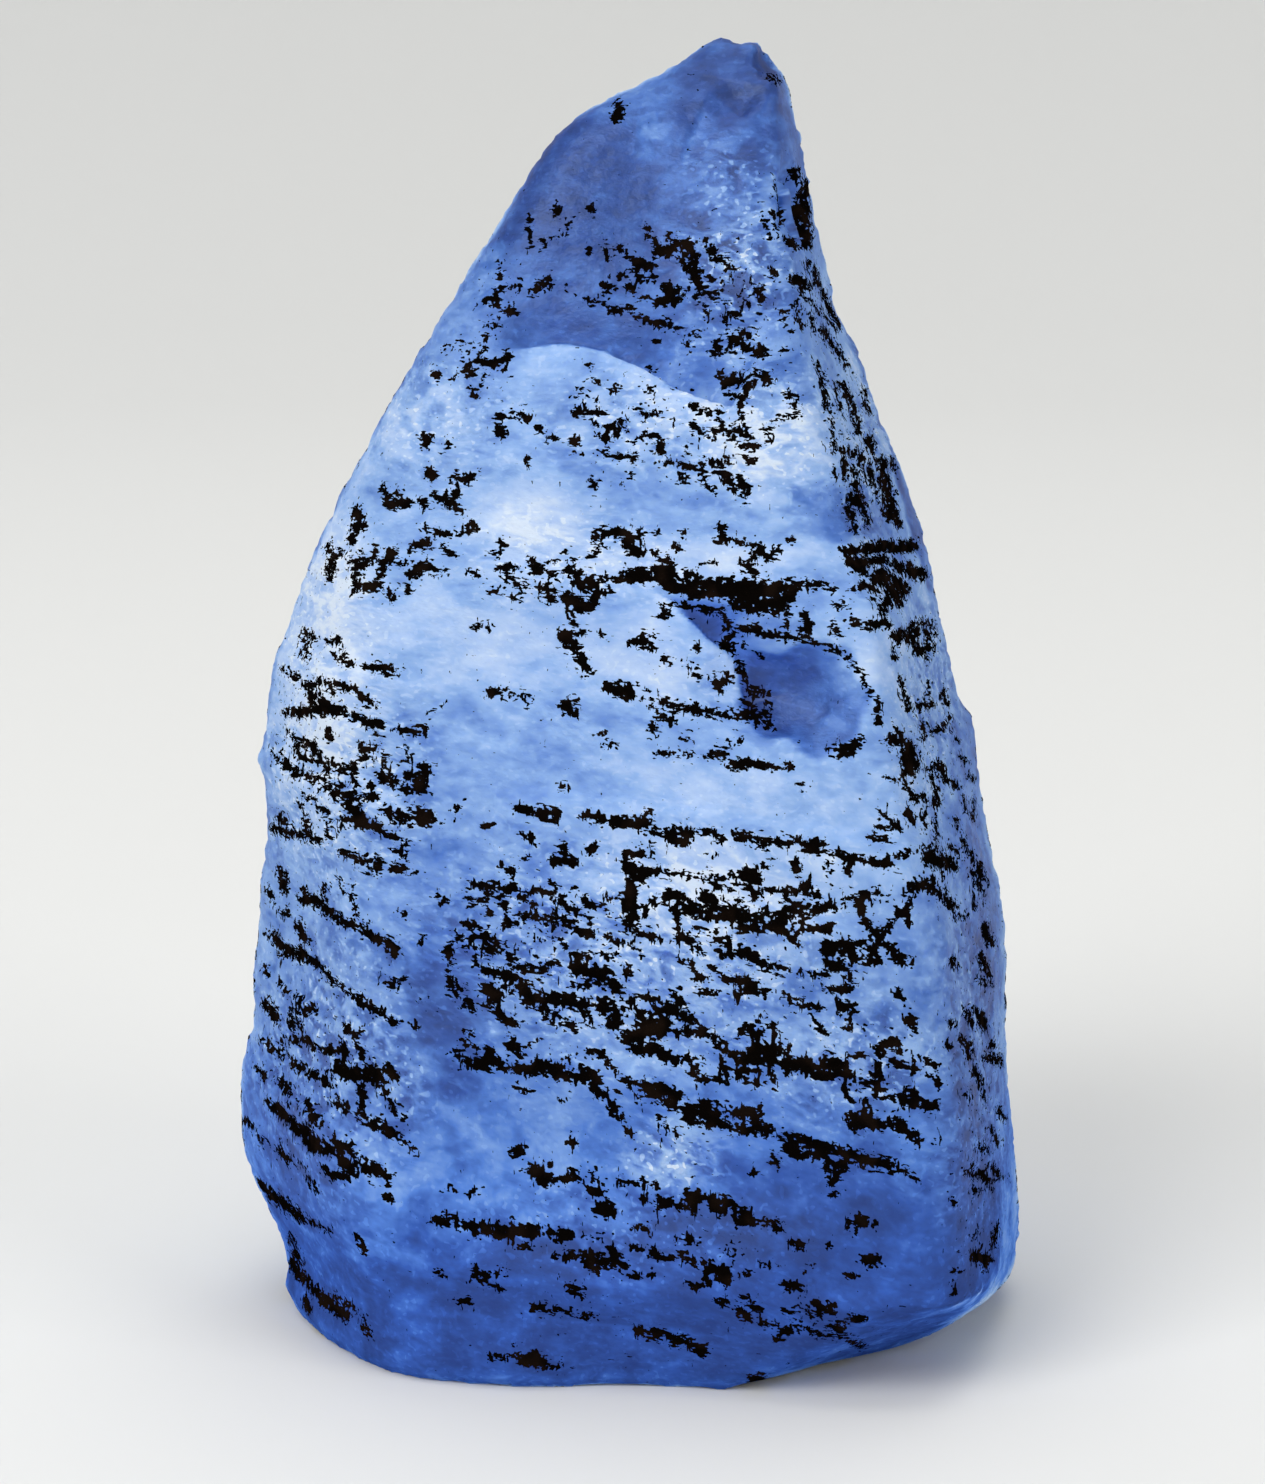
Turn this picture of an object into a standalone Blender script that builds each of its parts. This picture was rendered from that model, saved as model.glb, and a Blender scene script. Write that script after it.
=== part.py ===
"""Rough sapphire crystal: one tapering, six-sided crystal of worn blue corundum on its broken foot.

Metres, +Z up. The origin is the middle of the crystal's box, on the surface that it stands on,
+X runs to the viewer's right and -Y towards the viewer. Lengths in the tables are millimetres
and angles are degrees, anticlockwise seen from above, so -90 looks at the viewer.
"""

import math

import bmesh
import bpy
from mathutils import Matrix, Vector, noise

MM = 0.001

# How far the crystal reaches at each height: (height, left, right, front, back).
# The tip leans to the right, and the left side bulges just above the foot.
REACH = (
    (0.0, -12.7, 13.9, -10.9, 10.4),
    (0.6, -13.1, 14.6, -11.4, 11.2),
    (2.0, -13.5, 15.0, -11.7, 11.7),
    (4.0, -14.4, 15.0, -11.9, 12.0),
    (6.3, -15.1, 14.8, -11.9, 12.2),
    (8.5, -14.9, 14.6, -11.8, 12.2),
    (13.0, -14.3, 14.3, -11.6, 12.0),
    (18.0, -14.0, 13.7, -11.2, 11.6),
    (22.0, -13.7, 12.8, -10.7, 10.9),
    (26.0, -12.9, 11.8, -9.9, 10.0),
    (30.0, -11.5, 10.7, -8.9, 8.9),
    (34.0, -9.6, 9.3, -7.7, 7.6),
    (38.0, -7.0, 7.7, -6.1, 6.3),
    (41.5, -4.8, 6.7, -4.6, 5.0),
    (43.8, -3.3, 6.3, -3.5, 4.0),
    (45.3, -1.8, 6.0, -2.7, 3.2),
    (46.6, 0.7, 5.7, -1.9, 2.4),
    (47.3, 1.9, 5.1, -1.3, 1.7),
    (47.8, 2.5, 4.6, -0.7, 1.0),
)
TIP = (3.4, 0.15, 48.0)

# The six side faces: (the way the face looks, its distance from the middle low down, and high up).
# The left front face runs out to nothing two thirds of the way up.
FACES = (
    (-100.0, 9.4, 9.6),
    (-150.0, 11.6, 15.5),
    (152.0, 12.4, 12.0),
    (95.0, 11.5, 10.8),
    (38.0, 12.6, 12.9),
    (-16.0, 13.7, 12.4),
)
LOW_OUTLINE_TO = 12.0
HIGH_OUTLINE_FROM = 40.0
EDGE_SHARPNESS = 16.0  # higher is a sharper edge between two side faces

# Growth layers lean down to the right, most of all low down: (level, slope).
LAYER_LEAN = (
    (0.0, 0.0),
    (3.0, 0.0),
    (7.0, -0.14),
    (12.0, -0.20),
    (18.0, -0.14),
    (26.0, -0.08),
    (47.8, 0.0),
)
LEAN_ROUNDS = 4  # how often a point's height and place across are worked out from each other
LAYER_WAVER = 0.35
WAVER_SIZE = 7.0
WAVER_FULL_FROM = 5.0

# The foot ends in a thin lower tier, a little narrower than the body at the back and proud at the
# front left. A groove runs above it on the left, and it fades out on the front, where the face
# runs straight down to the ground. The right front corner is broken off along two slanting planes.
TIER_TOP = 1.0
TIER_LIP = 0.45
# (the way its middle looks, half its width, how far the tier stands back, or proud if negative)
TIER_RECESS = ((-142.0, 46.0, -0.9), (178.0, 50.0, -0.15), (70.0, 80.0, 1.1))
GROOVE = (160.0, 100.0, 0.4)  # the way its middle looks, half its width, how deep
GROOVE_ENDS_OVER = 3.5  # height over which the body comes out again above the groove
BREAKS = ((-59.0, 10.3), (-33.0, 11.8))  # the way each break looks, its distance from the middle
BREAK_SLANT = 1.3  # how much farther out a break is for each millimetre of height
FOOT_WAVE = 0.3
FOOT_WAVE_SIZE = 3.6

# Growth steps, each a ledge that stands proud just below its level and fades out under it:
# (level, the way its middle looks, half its angular width, depth, how far it fades downwards).
LEDGES = (
    (4.3, -70.0, 60.0, 0.40, 1.8),
    (7.6, 178.0, 62.0, 0.45, 2.4),
    (9.2, 70.0, 60.0, 0.50, 2.6),
    (10.7, -150.0, 36.0, 0.40, 2.0),
    (12.2, -82.0, 50.0, 0.50, 2.6),
    (14.1, -164.0, 34.0, 0.35, 2.0),
    (15.9, -112.0, 46.0, 0.42, 2.2),
    (18.5, -66.0, 44.0, 0.45, 2.2),
    (16.6, 108.0, 66.0, 0.55, 3.0),
    (20.2, -152.0, 34.0, 0.38, 2.2),
    (21.4, -78.0, 50.0, 0.50, 2.4),
    (23.9, 30.0, 62.0, 0.45, 2.8),
    (25.0, -160.0, 42.0, 0.40, 2.4),
    (29.4, -72.0, 66.0, 0.55, 3.0),
    (31.2, 140.0, 66.0, 0.45, 2.6),
    (33.6, -112.0, 50.0, 0.40, 2.4),
    (37.4, 40.0, 75.0, 0.35, 2.2),
)
TREAD = 0.24  # height over which a step turns from riser to tread
LEDGE_EVEN_SHARE = 0.75
LEDGE_UNEVEN_SHARE = 0.6
LEDGE_UNEVEN_SIZE = 4.5

LUMP_DEPTH = 0.30
LUMP_SIZE = 5.5
LUMPS_FULL_FROM_WIDTH = 12.0

# Shell-shaped chips, steepest at one rim: (name, the way it looks, level, half width along
# the steep rim, half length away from it, thickness, share of that left out of the skin,
# turned by, tilt). Turned by 0, the steep rim is the lower one, and by -90 the left one.
SHELLS = (
    ("scoop", -60.0, 26.5, 2.2, 3.0, 1.2, 0.45, -78.0, 9.0),
    ("tip_chip", -70.0, 45.9, 0.9, 0.9, 0.4, 0.45, -20.0, 15.0),
    ("shoulder_hollow", -30.0, 42.3, 0.9, 2.2, 0.8, 0.45, 8.0, 8.0),
    ("foot_corner_shell", 66.0, 2.2, 8.5, 6.0, 4.5, 0.72, 172.0, 10.0),
)

# Steps where a flake has come off: a straight wall, and a flat floor that climbs back to the skin
# away from the wall and towards its left end: (name, the way it looks, level, length of the wall,
# how far the floor runs, depth, turned by). Turned by 0, the wall is the lower side.
FLAKES = (
    ("shoulder_flake", -89.0, 36.5, 6.0, 5.2, 0.75, -24.0),
    ("slab_edge", -73.0, 28.4, 4.2, 2.2, 0.65, -38.0),
    ("back_flake", 88.0, 33.0, 7.5, 6.5, 0.9, 20.0),
    ("low_back_flake", 100.0, 12.5, 9.0, 6.0, 0.9, -168.0),
    ("back_edge_flake", 124.0, 22.0, 5.0, 7.0, 1.1, -12.0),
    ("left_edge_flake", 178.0, 30.0, 5.0, 6.0, 0.9, 160.0),
    ("right_edge_flake", 14.0, 15.0, 5.5, 7.0, 1.0, 12.0),
)
FLAKE_OVERSHOOT = 1.6  # how far past its own floor a flake's cutter runs
FLAKE_CUTTER_HEIGHT = 4.0

# The dip between the tip's two lobes, a round groove that runs from front to back.
TIP_NOTCH_RADIUS = 0.55
TIP_NOTCH_PLACE = (3.85, 48.15)
TIP_NOTCH_LENGTH = 5.0
TIP_NOTCH_SIDES = 20

SEGMENTS = 60
FOOT_EDGE_RING = 0.45
RING_SPACING = 1.3
TIP_RING_SPACING = 0.55
TIP_RINGS_FROM = 43.0
CLOSEST_RINGS = 0.4

# How far from a chip's place the skin is felt for its slope: along the outline, and in levels.
FEEL_AROUND = math.radians(7.0)
FEEL_UP = 0.7

BLUE = (0.105, 0.235, 0.72, 1.0)
ROUGHNESS = 0.35
SAPPHIRE_IOR = 1.77
CLEARNESS = 0.6  # share of the light that passes into the stone


def smooth(share):
    share = min(1.0, max(0.0, share))
    return share * share * (3 - 2 * share)


def along(table, place, column):
    """A column of a table at a place in its first column, on a smooth curve through its rows."""
    if place <= table[0][0]:
        return table[0][column]
    if place >= table[-1][0]:
        return table[-1][column]
    row = next(i for i in range(len(table) - 1) if place <= table[i + 1][0])
    low, high = table[row], table[row + 1]
    before = table[max(row - 1, 0)]
    after = table[min(row + 2, len(table) - 1)]
    span = high[0] - low[0]
    slope_in = (high[column] - before[column]) / (high[0] - before[0]) * span
    slope_out = (after[column] - low[column]) / (after[0] - low[0]) * span
    share = (place - low[0]) / span
    square, cube = share**2, share**3
    from_low = (2 * cube - 3 * square + 1) * low[column] + (cube - 2 * square + share) * slope_in
    from_high = (3 * square - 2 * cube) * high[column] + (cube - square) * slope_out
    return from_low + from_high


def near(angle, middle, half_width):
    """1 in the middle of a stretch of the outline, falling smoothly to 0 at its two ends."""
    away = abs((math.degrees(angle) - middle + 180) % 360 - 180)
    return smooth(2 * (1 - away / half_width))


def outline_radius(angle, up):
    """Distance of the outline from its middle, where a power mean rounds the edges between faces."""
    total = 0.0
    for looks, low, high in FACES:
        towards = math.cos(angle - math.radians(looks))
        if towards > 0:
            total += (towards / (low + (high - low) * up)) ** EDGE_SHARPNESS
    return total ** (-1 / EDGE_SHARPNESS)


def outline_shares(angle, up):
    """Where the outline is at an angle, as shares of its own width and depth, 0 to 1."""
    around = [2 * math.pi * i / SEGMENTS for i in range(SEGMENTS)]
    across = [outline_radius(a, up) * math.cos(a) for a in around]
    deep = [outline_radius(a, up) * math.sin(a) for a in around]
    radius = outline_radius(angle, up)
    x_share = (radius * math.cos(angle) - min(across)) / (max(across) - min(across))
    y_share = (radius * math.sin(angle) - min(deep)) / (max(deep) - min(deep))
    return x_share, y_share


def ledge_depth(angle, level, place):
    """How far the growth steps stand proud of the plain face here."""
    depth = 0.0
    for top, middle, half_width, most, fades in LEDGES:
        if not top - fades < level < top + TREAD:
            continue
        below = 1 - (top - level) / fades if level <= top else 1 - (level - top) / TREAD
        unlike_others = Vector((top, 0, 0))
        uneven = LEDGE_UNEVEN_SHARE * noise.noise(place / LEDGE_UNEVEN_SIZE + unlike_others)
        depth += most * near(angle, middle, half_width) * below * (LEDGE_EVEN_SHARE + uneven)
    return depth


def foot_recess(angle, level):
    """How far the foot stands back from the plain outline here, or proud if negative."""
    tier = sum(most * near(angle, middle, half_width) for middle, half_width, most in TIER_RECESS)
    if level < TIER_TOP + TIER_LIP / 2:
        return tier
    middle, half_width, most = GROOVE
    groove = most * near(angle, middle, half_width)
    left = max(0.0, 1 - (level - TIER_TOP - TIER_LIP) / GROOVE_ENDS_OVER)
    return (min(tier, 0.0) + groove) * left**2


def broken_corner(place):
    """The place, moved back to the plane of each break that it is beyond."""
    for looks, distance in BREAKS:
        out = Vector((math.cos(math.radians(looks)), math.sin(math.radians(looks)), 0))
        place = place - out * max(0.0, place.dot(out) - distance - BREAK_SLANT * place.z)
    return place


def skin_point(angle, level):
    """The point of the crystal's skin at an angle and a growth level."""
    up = smooth((level - LOW_OUTLINE_TO) / (HIGH_OUTLINE_FROM - LOW_OUTLINE_TO))
    across, deep = outline_shares(angle, up)
    lean = along(LAYER_LEAN, level, 1)
    x, height = 0.0, level
    for _ in range(LEAN_ROUNDS):
        height = min(level + lean * x, REACH[-1][0])
        left, right, front, back = (along(REACH, height, column) for column in (1, 2, 3, 4))
        x = left + across * (right - left)
    y = front + deep * (back - front)
    place = Vector((x, y, height))
    outwards = Vector((x - (left + right) / 2, y - (front + back) / 2, 0)).normalized()
    width_here = min(1.0, (right - left) / LUMPS_FULL_FROM_WIDTH)
    swell = ledge_depth(angle, level, place) - foot_recess(angle, level)
    swell += LUMP_DEPTH * width_here * noise.noise(place / LUMP_SIZE)
    wavers = LAYER_WAVER * width_here * smooth(level / WAVER_FULL_FROM)
    waver = wavers * noise.noise(place / WAVER_SIZE)
    skin = broken_corner(place + outwards * swell + Vector((0, 0, waver)))
    low = max(0.0, 1 - level / (TIER_TOP + TIER_LIP))
    return skin + outwards * FOOT_WAVE * low * noise.noise(Vector((x, y, 0)) / FOOT_WAVE_SIZE)


def ring_levels():
    """Levels of the rings: evenly spaced, closer at the tip, and a pair at every step."""
    lip = TIER_TOP + TIER_LIP
    kept = [0.0, FOOT_EDGE_RING, TIER_TOP, lip]
    kept += [lip + GROOVE_ENDS_OVER / 6, lip + GROOVE_ENDS_OVER / 3]
    kept += [level for top, *_ in LEDGES for level in (top, top + TREAD)]
    level = RING_SPACING
    while level < REACH[-1][0]:
        if all(abs(level - other) > CLOSEST_RINGS for other in kept):
            kept.append(level)
        level += RING_SPACING if level < TIP_RINGS_FROM else TIP_RING_SPACING
    return sorted(kept) + [REACH[-1][0]]


def crystal_body():
    """The foot's face, extruded ring by ring to the tip, as a crystal grows in layers."""
    mesh = bmesh.new()
    bmesh.ops.create_circle(mesh, cap_ends=True, segments=SEGMENTS, radius=1.0)
    mesh.faces.ensure_lookup_table()
    foot = top = mesh.faces[0]
    for level in ring_levels():
        if level > 0:
            below = top
            grown = bmesh.ops.extrude_face_region(mesh, geom=[below])
            top = next(item for item in grown["geom"] if isinstance(item, bmesh.types.BMFace))
            if below != foot:
                mesh.faces.remove(below)
        for i, corner in enumerate(top.verts):
            corner.co = skin_point(2 * math.pi * i / SEGMENTS, level) * MM
    centre = bmesh.ops.poke(mesh, faces=[top])["verts"][0]
    centre.co = Vector(TIP) * MM
    bmesh.ops.recalc_face_normals(mesh, faces=mesh.faces)
    return linked("sapphire_crystal", mesh)


def linked(name, mesh):
    """The mesh as an object of the scene."""
    data = bpy.data.meshes.new(name)
    mesh.to_mesh(data)
    mesh.free()
    made = bpy.data.objects.new(name, data)
    bpy.context.scene.collection.objects.link(made)
    return made


def cut_with(crystal, cutter):
    """Takes the cutter's shape out of the crystal."""
    cutter.hide_render = True
    cutter.display_type = "WIRE"
    cut = crystal.modifiers.new(cutter.name, "BOOLEAN")
    cut.operation = "DIFFERENCE"
    cut.solver = "EXACT"
    cut.object = cutter


def skin_frame(looks, level):
    """A frame on the skin: X along it to the right, Y up it, Z out of it."""
    angle = math.radians(looks)
    across = skin_point(angle + FEEL_AROUND, level) - skin_point(angle - FEEL_AROUND, level)
    upwards = skin_point(angle, level + FEEL_UP) - skin_point(angle, level - FEEL_UP)
    out = across.cross(upwards).normalized()
    across = across.normalized()
    frame = Matrix((across, out.cross(across), out)).transposed().to_4x4()
    return Matrix.Scale(MM, 4) @ Matrix.Translation(skin_point(angle, level)) @ frame


def turned_by(degrees, axis):
    return Matrix.Rotation(math.radians(degrees), 4, axis)


def shell_cutter(name, looks, level, half_width, half_length, thickness, left_out, turned, tilt):
    """A flattened ball that lies in the skin, tilted so that one rim digs in deeper."""
    mesh = bmesh.new()
    bmesh.ops.create_icosphere(mesh, subdivisions=3, radius=1.0)
    lift = Matrix.Translation((0, 0, thickness * left_out))
    stretch = Matrix.Diagonal((half_width, half_length, thickness, 1))
    lie = turned_by(turned, "Z") @ turned_by(tilt, "X")
    mesh.transform(skin_frame(looks, level) @ lift @ lie @ stretch)
    return linked(name, mesh)


def flake_cutter(name, looks, level, wall, reach, depth, turned):
    """A block whose floor is deepest at the wall's right end and reaches the skin at its far sides."""
    mesh = bmesh.new()
    bmesh.ops.create_cube(mesh, size=1.0)
    long, tall = reach * FLAKE_OVERSHOOT, FLAKE_CUTTER_HEIGHT
    block = Matrix.Translation((0, long / 2, tall / 2)) @ Matrix.Diagonal((wall, long, tall, 1))
    lean = turned_by(math.degrees(depth / wall), "Y") @ turned_by(math.degrees(depth / reach), "X")
    sink = Matrix.Translation((0, 0, -depth / 2))
    mesh.transform(skin_frame(looks, level) @ turned_by(turned, "Z") @ sink @ lean @ block)
    return linked(name, mesh)


def notch_cutter():
    mesh = bmesh.new()
    bmesh.ops.create_cone(
        mesh,
        cap_ends=True,
        segments=TIP_NOTCH_SIDES,
        radius1=TIP_NOTCH_RADIUS,
        radius2=TIP_NOTCH_RADIUS,
        depth=TIP_NOTCH_LENGTH,
    )
    across, height = TIP_NOTCH_PLACE
    lie = Matrix.Rotation(math.radians(90), 4, "X")
    mesh.transform(Matrix.Scale(MM, 4) @ Matrix.Translation((across, 0, height)) @ lie)
    return linked("tip_notch", mesh)


def bring_to_origin(crystal):
    """Slides the mesh and its cutters sideways until the middle of the crystal's box is the origin."""
    corners = [corner.co for corner in crystal.data.vertices]
    x_middle = (min(c.x for c in corners) + max(c.x for c in corners)) / 2
    y_middle = (min(c.y for c in corners) + max(c.y for c in corners)) / 2
    slide = Matrix.Translation((-x_middle, -y_middle, 0))
    for obj in bpy.data.objects:
        obj.data.transform(slide)


def sapphire():
    """Rough blue sapphire: clear enough for light to pass through, with a worn skin."""
    material = bpy.data.materials.new("rough_sapphire")
    material.use_nodes = True
    shader = material.node_tree.nodes["Principled BSDF"]
    shader.inputs["Base Color"].default_value = BLUE
    shader.inputs["Roughness"].default_value = ROUGHNESS
    shader.inputs["Metallic"].default_value = 0.0
    shader.inputs["IOR"].default_value = SAPPHIRE_IOR
    shader.inputs["Transmission Weight"].default_value = CLEARNESS
    return material


def main():
    for old in list(bpy.data.objects):
        bpy.data.objects.remove(old)
    crystal = crystal_body()
    for shell in SHELLS:
        cut_with(crystal, shell_cutter(*shell))
    for flake in FLAKES:
        cut_with(crystal, flake_cutter(*flake))
    cut_with(crystal, notch_cutter())
    crystal.data.materials.append(sapphire())
    bring_to_origin(crystal)


main()
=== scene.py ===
# %% [markdown]
# # A rough blue sapphire crystal
# A sapphire is corundum, aluminium oxide, coloured blue by traces of iron and titanium. This one
# was never cut: a tapering crystal with worn growth layers, chips, and a brown-black film that
# has settled in the growth lines.
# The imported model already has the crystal's size and main shapes. This script gives it its fine
# surface, its colour and its film, then lights and frames it. Lengths in the tables are
# millimetres on the crystal, and places on its front are pixels of the 1265 x 1484 photograph.

import math

import bmesh
import bpy
import numpy as np
from mathutils import Euler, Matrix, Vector
from mathutils.bvhtree import BVHTree


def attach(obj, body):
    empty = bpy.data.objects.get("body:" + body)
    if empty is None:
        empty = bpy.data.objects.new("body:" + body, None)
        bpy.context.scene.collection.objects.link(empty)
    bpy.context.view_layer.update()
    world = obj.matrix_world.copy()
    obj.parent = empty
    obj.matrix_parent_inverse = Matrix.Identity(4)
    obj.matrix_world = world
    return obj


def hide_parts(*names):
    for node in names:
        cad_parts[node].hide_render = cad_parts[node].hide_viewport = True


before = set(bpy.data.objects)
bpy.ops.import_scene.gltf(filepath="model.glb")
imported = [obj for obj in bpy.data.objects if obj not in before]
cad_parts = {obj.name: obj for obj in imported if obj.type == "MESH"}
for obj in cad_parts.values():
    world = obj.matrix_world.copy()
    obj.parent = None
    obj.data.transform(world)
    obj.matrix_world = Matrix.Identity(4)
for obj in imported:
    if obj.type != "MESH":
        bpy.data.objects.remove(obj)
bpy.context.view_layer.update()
MM = 0.001
plain_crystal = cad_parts["sapphire_crystal"]

# %% [markdown]
# ## Small helpers
# Colours are easiest to pick as the hex values that a paint program shows. Blender's sockets want
# linear values, so one function turns one into the other. A second function adds a node, sets its
# values and links its inputs, which keeps a node tree readable as plain Python. Where an input is
# given a node, the node's first output in use is linked to it.

# %% Colour and node helpers
MATH = "ShaderNodeMath"
RANGE = "ShaderNodeMapRange"
MIX = "ShaderNodeMix"
SMOOTH = {"interpolation_type": "SMOOTHSTEP"}  # lets a range set off and arrive gently


def linear(colour):
    """A hex colour such as "#8fb4f0" as linear red, green, blue and alpha."""
    shares = [int(colour[i : i + 2], 16) / 255 for i in (1, 3, 5)]
    return [s / 12.92 if s <= 0.04045 else ((s + 0.055) / 1.055) ** 2.4 for s in shares] + [1.0]


def add(tree, kind, inputs=(), **settings):
    """Adds a node. Its inputs come in order, or in a dictionary by name or number.

    A node or an output that is given for an input is linked to it. Anything else is its value.
    """
    made = tree.nodes.new(kind)
    for name, value in settings.items():
        setattr(made, name, value)
    if not isinstance(inputs, dict):
        inputs = dict(enumerate(inputs))
    for name, value in inputs.items():
        if isinstance(value, bpy.types.Node):
            value = next(output for output in value.outputs if output.enabled)
        if isinstance(value, bpy.types.NodeSocket):
            tree.links.new(value, made.inputs[name])
        else:
            made.inputs[name].default_value = value
    return made


print("mid grey in linear values:", round(linear("#808080")[0], 3))

# %% [markdown]
# ## The camera
# The photograph was taken from close by and a little above, with a long lens: the foot's front
# edge curves down, and the tip is seen almost level. A camera tipped down by 12 degrees, with an
# 82 mm lens on a 36 mm wide sensor, gives the same outline. Making the camera first lets the
# script work out which point of the surface each place in the photograph is.

# %% Camera
PHOTO_SIZE = (1265, 1484)
LENS = 82.0
SENSOR = 36.0
CLOSEST_SEEN = 5.0
CAMERA_PLACE = Vector((0.1, -125.2, 48.5)) * MM
CAMERA_TIPPED_DOWN = math.radians(12.0)

camera_data = bpy.data.cameras.new("camera")
camera_data.lens = LENS
camera_data.sensor_width = SENSOR
camera_data.clip_start = CLOSEST_SEEN * MM
camera = bpy.data.objects.new("camera", camera_data)
camera.location = CAMERA_PLACE
camera.rotation_euler = Euler((math.pi / 2 - CAMERA_TIPPED_DOWN, 0, 0))
bpy.context.scene.collection.objects.link(camera)
bpy.context.scene.camera = camera

CAMERA_AXES = np.array(camera.rotation_euler.to_matrix())
FOCAL_PIXELS = LENS / SENSOR * max(PHOTO_SIZE)


def in_photo(points):
    """Where points on the crystal, in metres, fall in the photograph, in its pixels."""
    seen = (points - np.array(CAMERA_PLACE)) @ CAMERA_AXES
    x = PHOTO_SIZE[0] / 2 + FOCAL_PIXELS * seen[:, 0] / -seen[:, 2]
    y = PHOTO_SIZE[1] / 2 - FOCAL_PIXELS * seen[:, 1] / -seen[:, 2]
    return x, y


print("camera", round(FOCAL_PIXELS), "pixels focal length")

# %% [markdown]
# ## The crystal's skin
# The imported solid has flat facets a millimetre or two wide, good for weighing and colliding but
# too coarse to look at. Cutting them finer would keep their long thin triangles, so a voxel remesh
# covers the solid with even squares instead, about a quarter of a millimetre wide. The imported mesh
# itself is never changed: a copy of it is merged and remeshed.

# %% Merge and remesh
SAME_POINT = 0.0001
SHARP_FROM = math.radians(52.0)
SKIN_SQUARE = 0.265  # wide enough to keep the finished skin under 200,000 triangles


def evaluated_mesh(obj):
    """The object's mesh with its modifiers applied."""
    bpy.context.view_layer.update()
    return bpy.data.meshes.new_from_object(obj.evaluated_get(bpy.context.evaluated_depsgraph_get()))


merged = bmesh.new()
merged.from_mesh(plain_crystal.data)
bmesh.ops.remove_doubles(merged, verts=merged.verts, dist=SAME_POINT * MM)
sharp_lines = [
    (edge.verts[0].co.copy(), edge.verts[1].co.copy())
    for edge in merged.edges
    if len(edge.link_faces) == 2 and edge.calc_face_angle() > SHARP_FROM
]
skin = bpy.data.meshes.new("skin")
merged.to_mesh(skin)
merged.free()

crystal = bpy.data.objects.new("rough_sapphire", skin)
bpy.context.scene.collection.objects.link(crystal)
remesh = crystal.modifiers.new("even squares", "REMESH")
remesh.mode = "VOXEL"
remesh.voxel_size = SKIN_SQUARE * MM
crystal.data = evaluated_mesh(crystal)
crystal.modifiers.clear()
print("skin:", len(crystal.data.vertices), "points")

# %% [markdown]
# Smoothing then melts the facets away. The large chips and the rim of the foot should stay crisp,
# so each point's share of smoothing grows with its distance from the nearest sharp edge of the
# solid. The Smooth modifier reads those shares from a vertex group.

# %% Smooth away from the sharp edges
CRISP_WITHIN = 0.2
SMOOTH_BEYOND = 0.9
SMOOTH_ROUNDS = 44
SMOOTH_SHARE = 0.5  # how far a round moves a point towards the middle of its neighbours
STRIP_WIDTH = 0.02  # each sharp edge stands for itself as a strip this wide


def smoothstep(share):
    """A share from 0 to 1 that sets off and arrives gently."""
    share = np.clip(share, 0, 1)
    return share * share * (3 - 2 * share)


thin = Vector((1, 1, 1)) * STRIP_WIDTH * MM
strips = BVHTree.FromPolygons(
    [p for a, b in sharp_lines for p in (a, b, b + thin)],
    [(3 * i, 3 * i + 1, 3 * i + 2) for i in range(len(sharp_lines))],
)
melting = crystal.vertex_groups.new(name="melting")
for point in crystal.data.vertices:
    away = strips.find_nearest(point.co)[3] / MM
    share = float(smoothstep((away - CRISP_WITHIN) / (SMOOTH_BEYOND - CRISP_WITHIN)))
    melting.add([point.index], share, "REPLACE")
soften = crystal.modifiers.new("melt the facets", "SMOOTH")
soften.factor = SMOOTH_SHARE
soften.iterations = SMOOTH_ROUNDS
soften.vertex_group = melting.name
crystal.data = evaluated_mesh(crystal)
crystal.modifiers.clear()
print(len(sharp_lines), "sharp edges kept")

# %% [markdown]
# ## Growth layers as coordinates
# A crystal grows layer on layer. Here the layers dip down to the right, most of all low down, so
# the growth lines on the front slope the same way. Each point gets its place in the growth: where
# it is across and deep, and which layer it is in. Every pattern below is made in these
# coordinates, so striations, pits and film follow the same lines all round the crystal. A UV map
# would need seams, and the lines would break at each of them.

# %% Place in the growth
# (heights in mm, how far the layers rise there for each millimetre to the right, or to the back)
LAYER_LEAN = ((0, 3, 7, 12, 18, 26, 34, 48), (0.0, -0.04, -0.14, -0.20, -0.14, -0.10, -0.03, 0.0))
LAYER_DIP = ((0, 6, 10, 20, 26, 34, 48), (0.16, 0.14, 0.0, -0.12, -0.10, 0.0, 0.0))
LAYER_ROUNDS = 4  # the lean depends on the layer, so it is worked out over a few rounds


def points_of(mesh, what="co"):
    """Each point's place, or with what="normal" the way the skin faces there."""
    values = np.empty(len(mesh.vertices) * 3, np.float32)
    mesh.vertices.foreach_get(what, values)
    return values.reshape(-1, 3).astype(float)


def place_in_growth(mesh):
    """Across, deep and layer, in mm, for each point."""
    x, y, height = (points_of(mesh) / MM).T
    layer = height.copy()
    for _ in range(LAYER_ROUNDS):
        layer = height - np.interp(layer, *LAYER_LEAN) * x - np.interp(layer, *LAYER_DIP) * y
    return np.column_stack((x, y, layer))


layers = place_in_growth(crystal.data)[:, 2]
print("layers from", round(layers.min(), 1), "to", round(layers.max(), 1), "mm")

# %% [markdown]
# ## Breaks that the eye knows the crystal by
# Sapphire has no cleavage, so where it is knocked it breaks like thick glass, in shell-shaped
# hollows with a crisp rim, or along the edge of a growth layer, in a small straight step. The
# photograph shows some large ones on the front. Cutting them out with Boolean modifiers would
# leave every rim equally sharp, so each is carved by moving the points of the skin inwards: a
# hollow by how near a point is to its middle, a step by how far it is from its edge. A break also
# bares fresh stone, deeper in colour than the worn skin beside it, so each one changes how pale
# the stone is, and the change ends as crisply as the break does.

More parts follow.
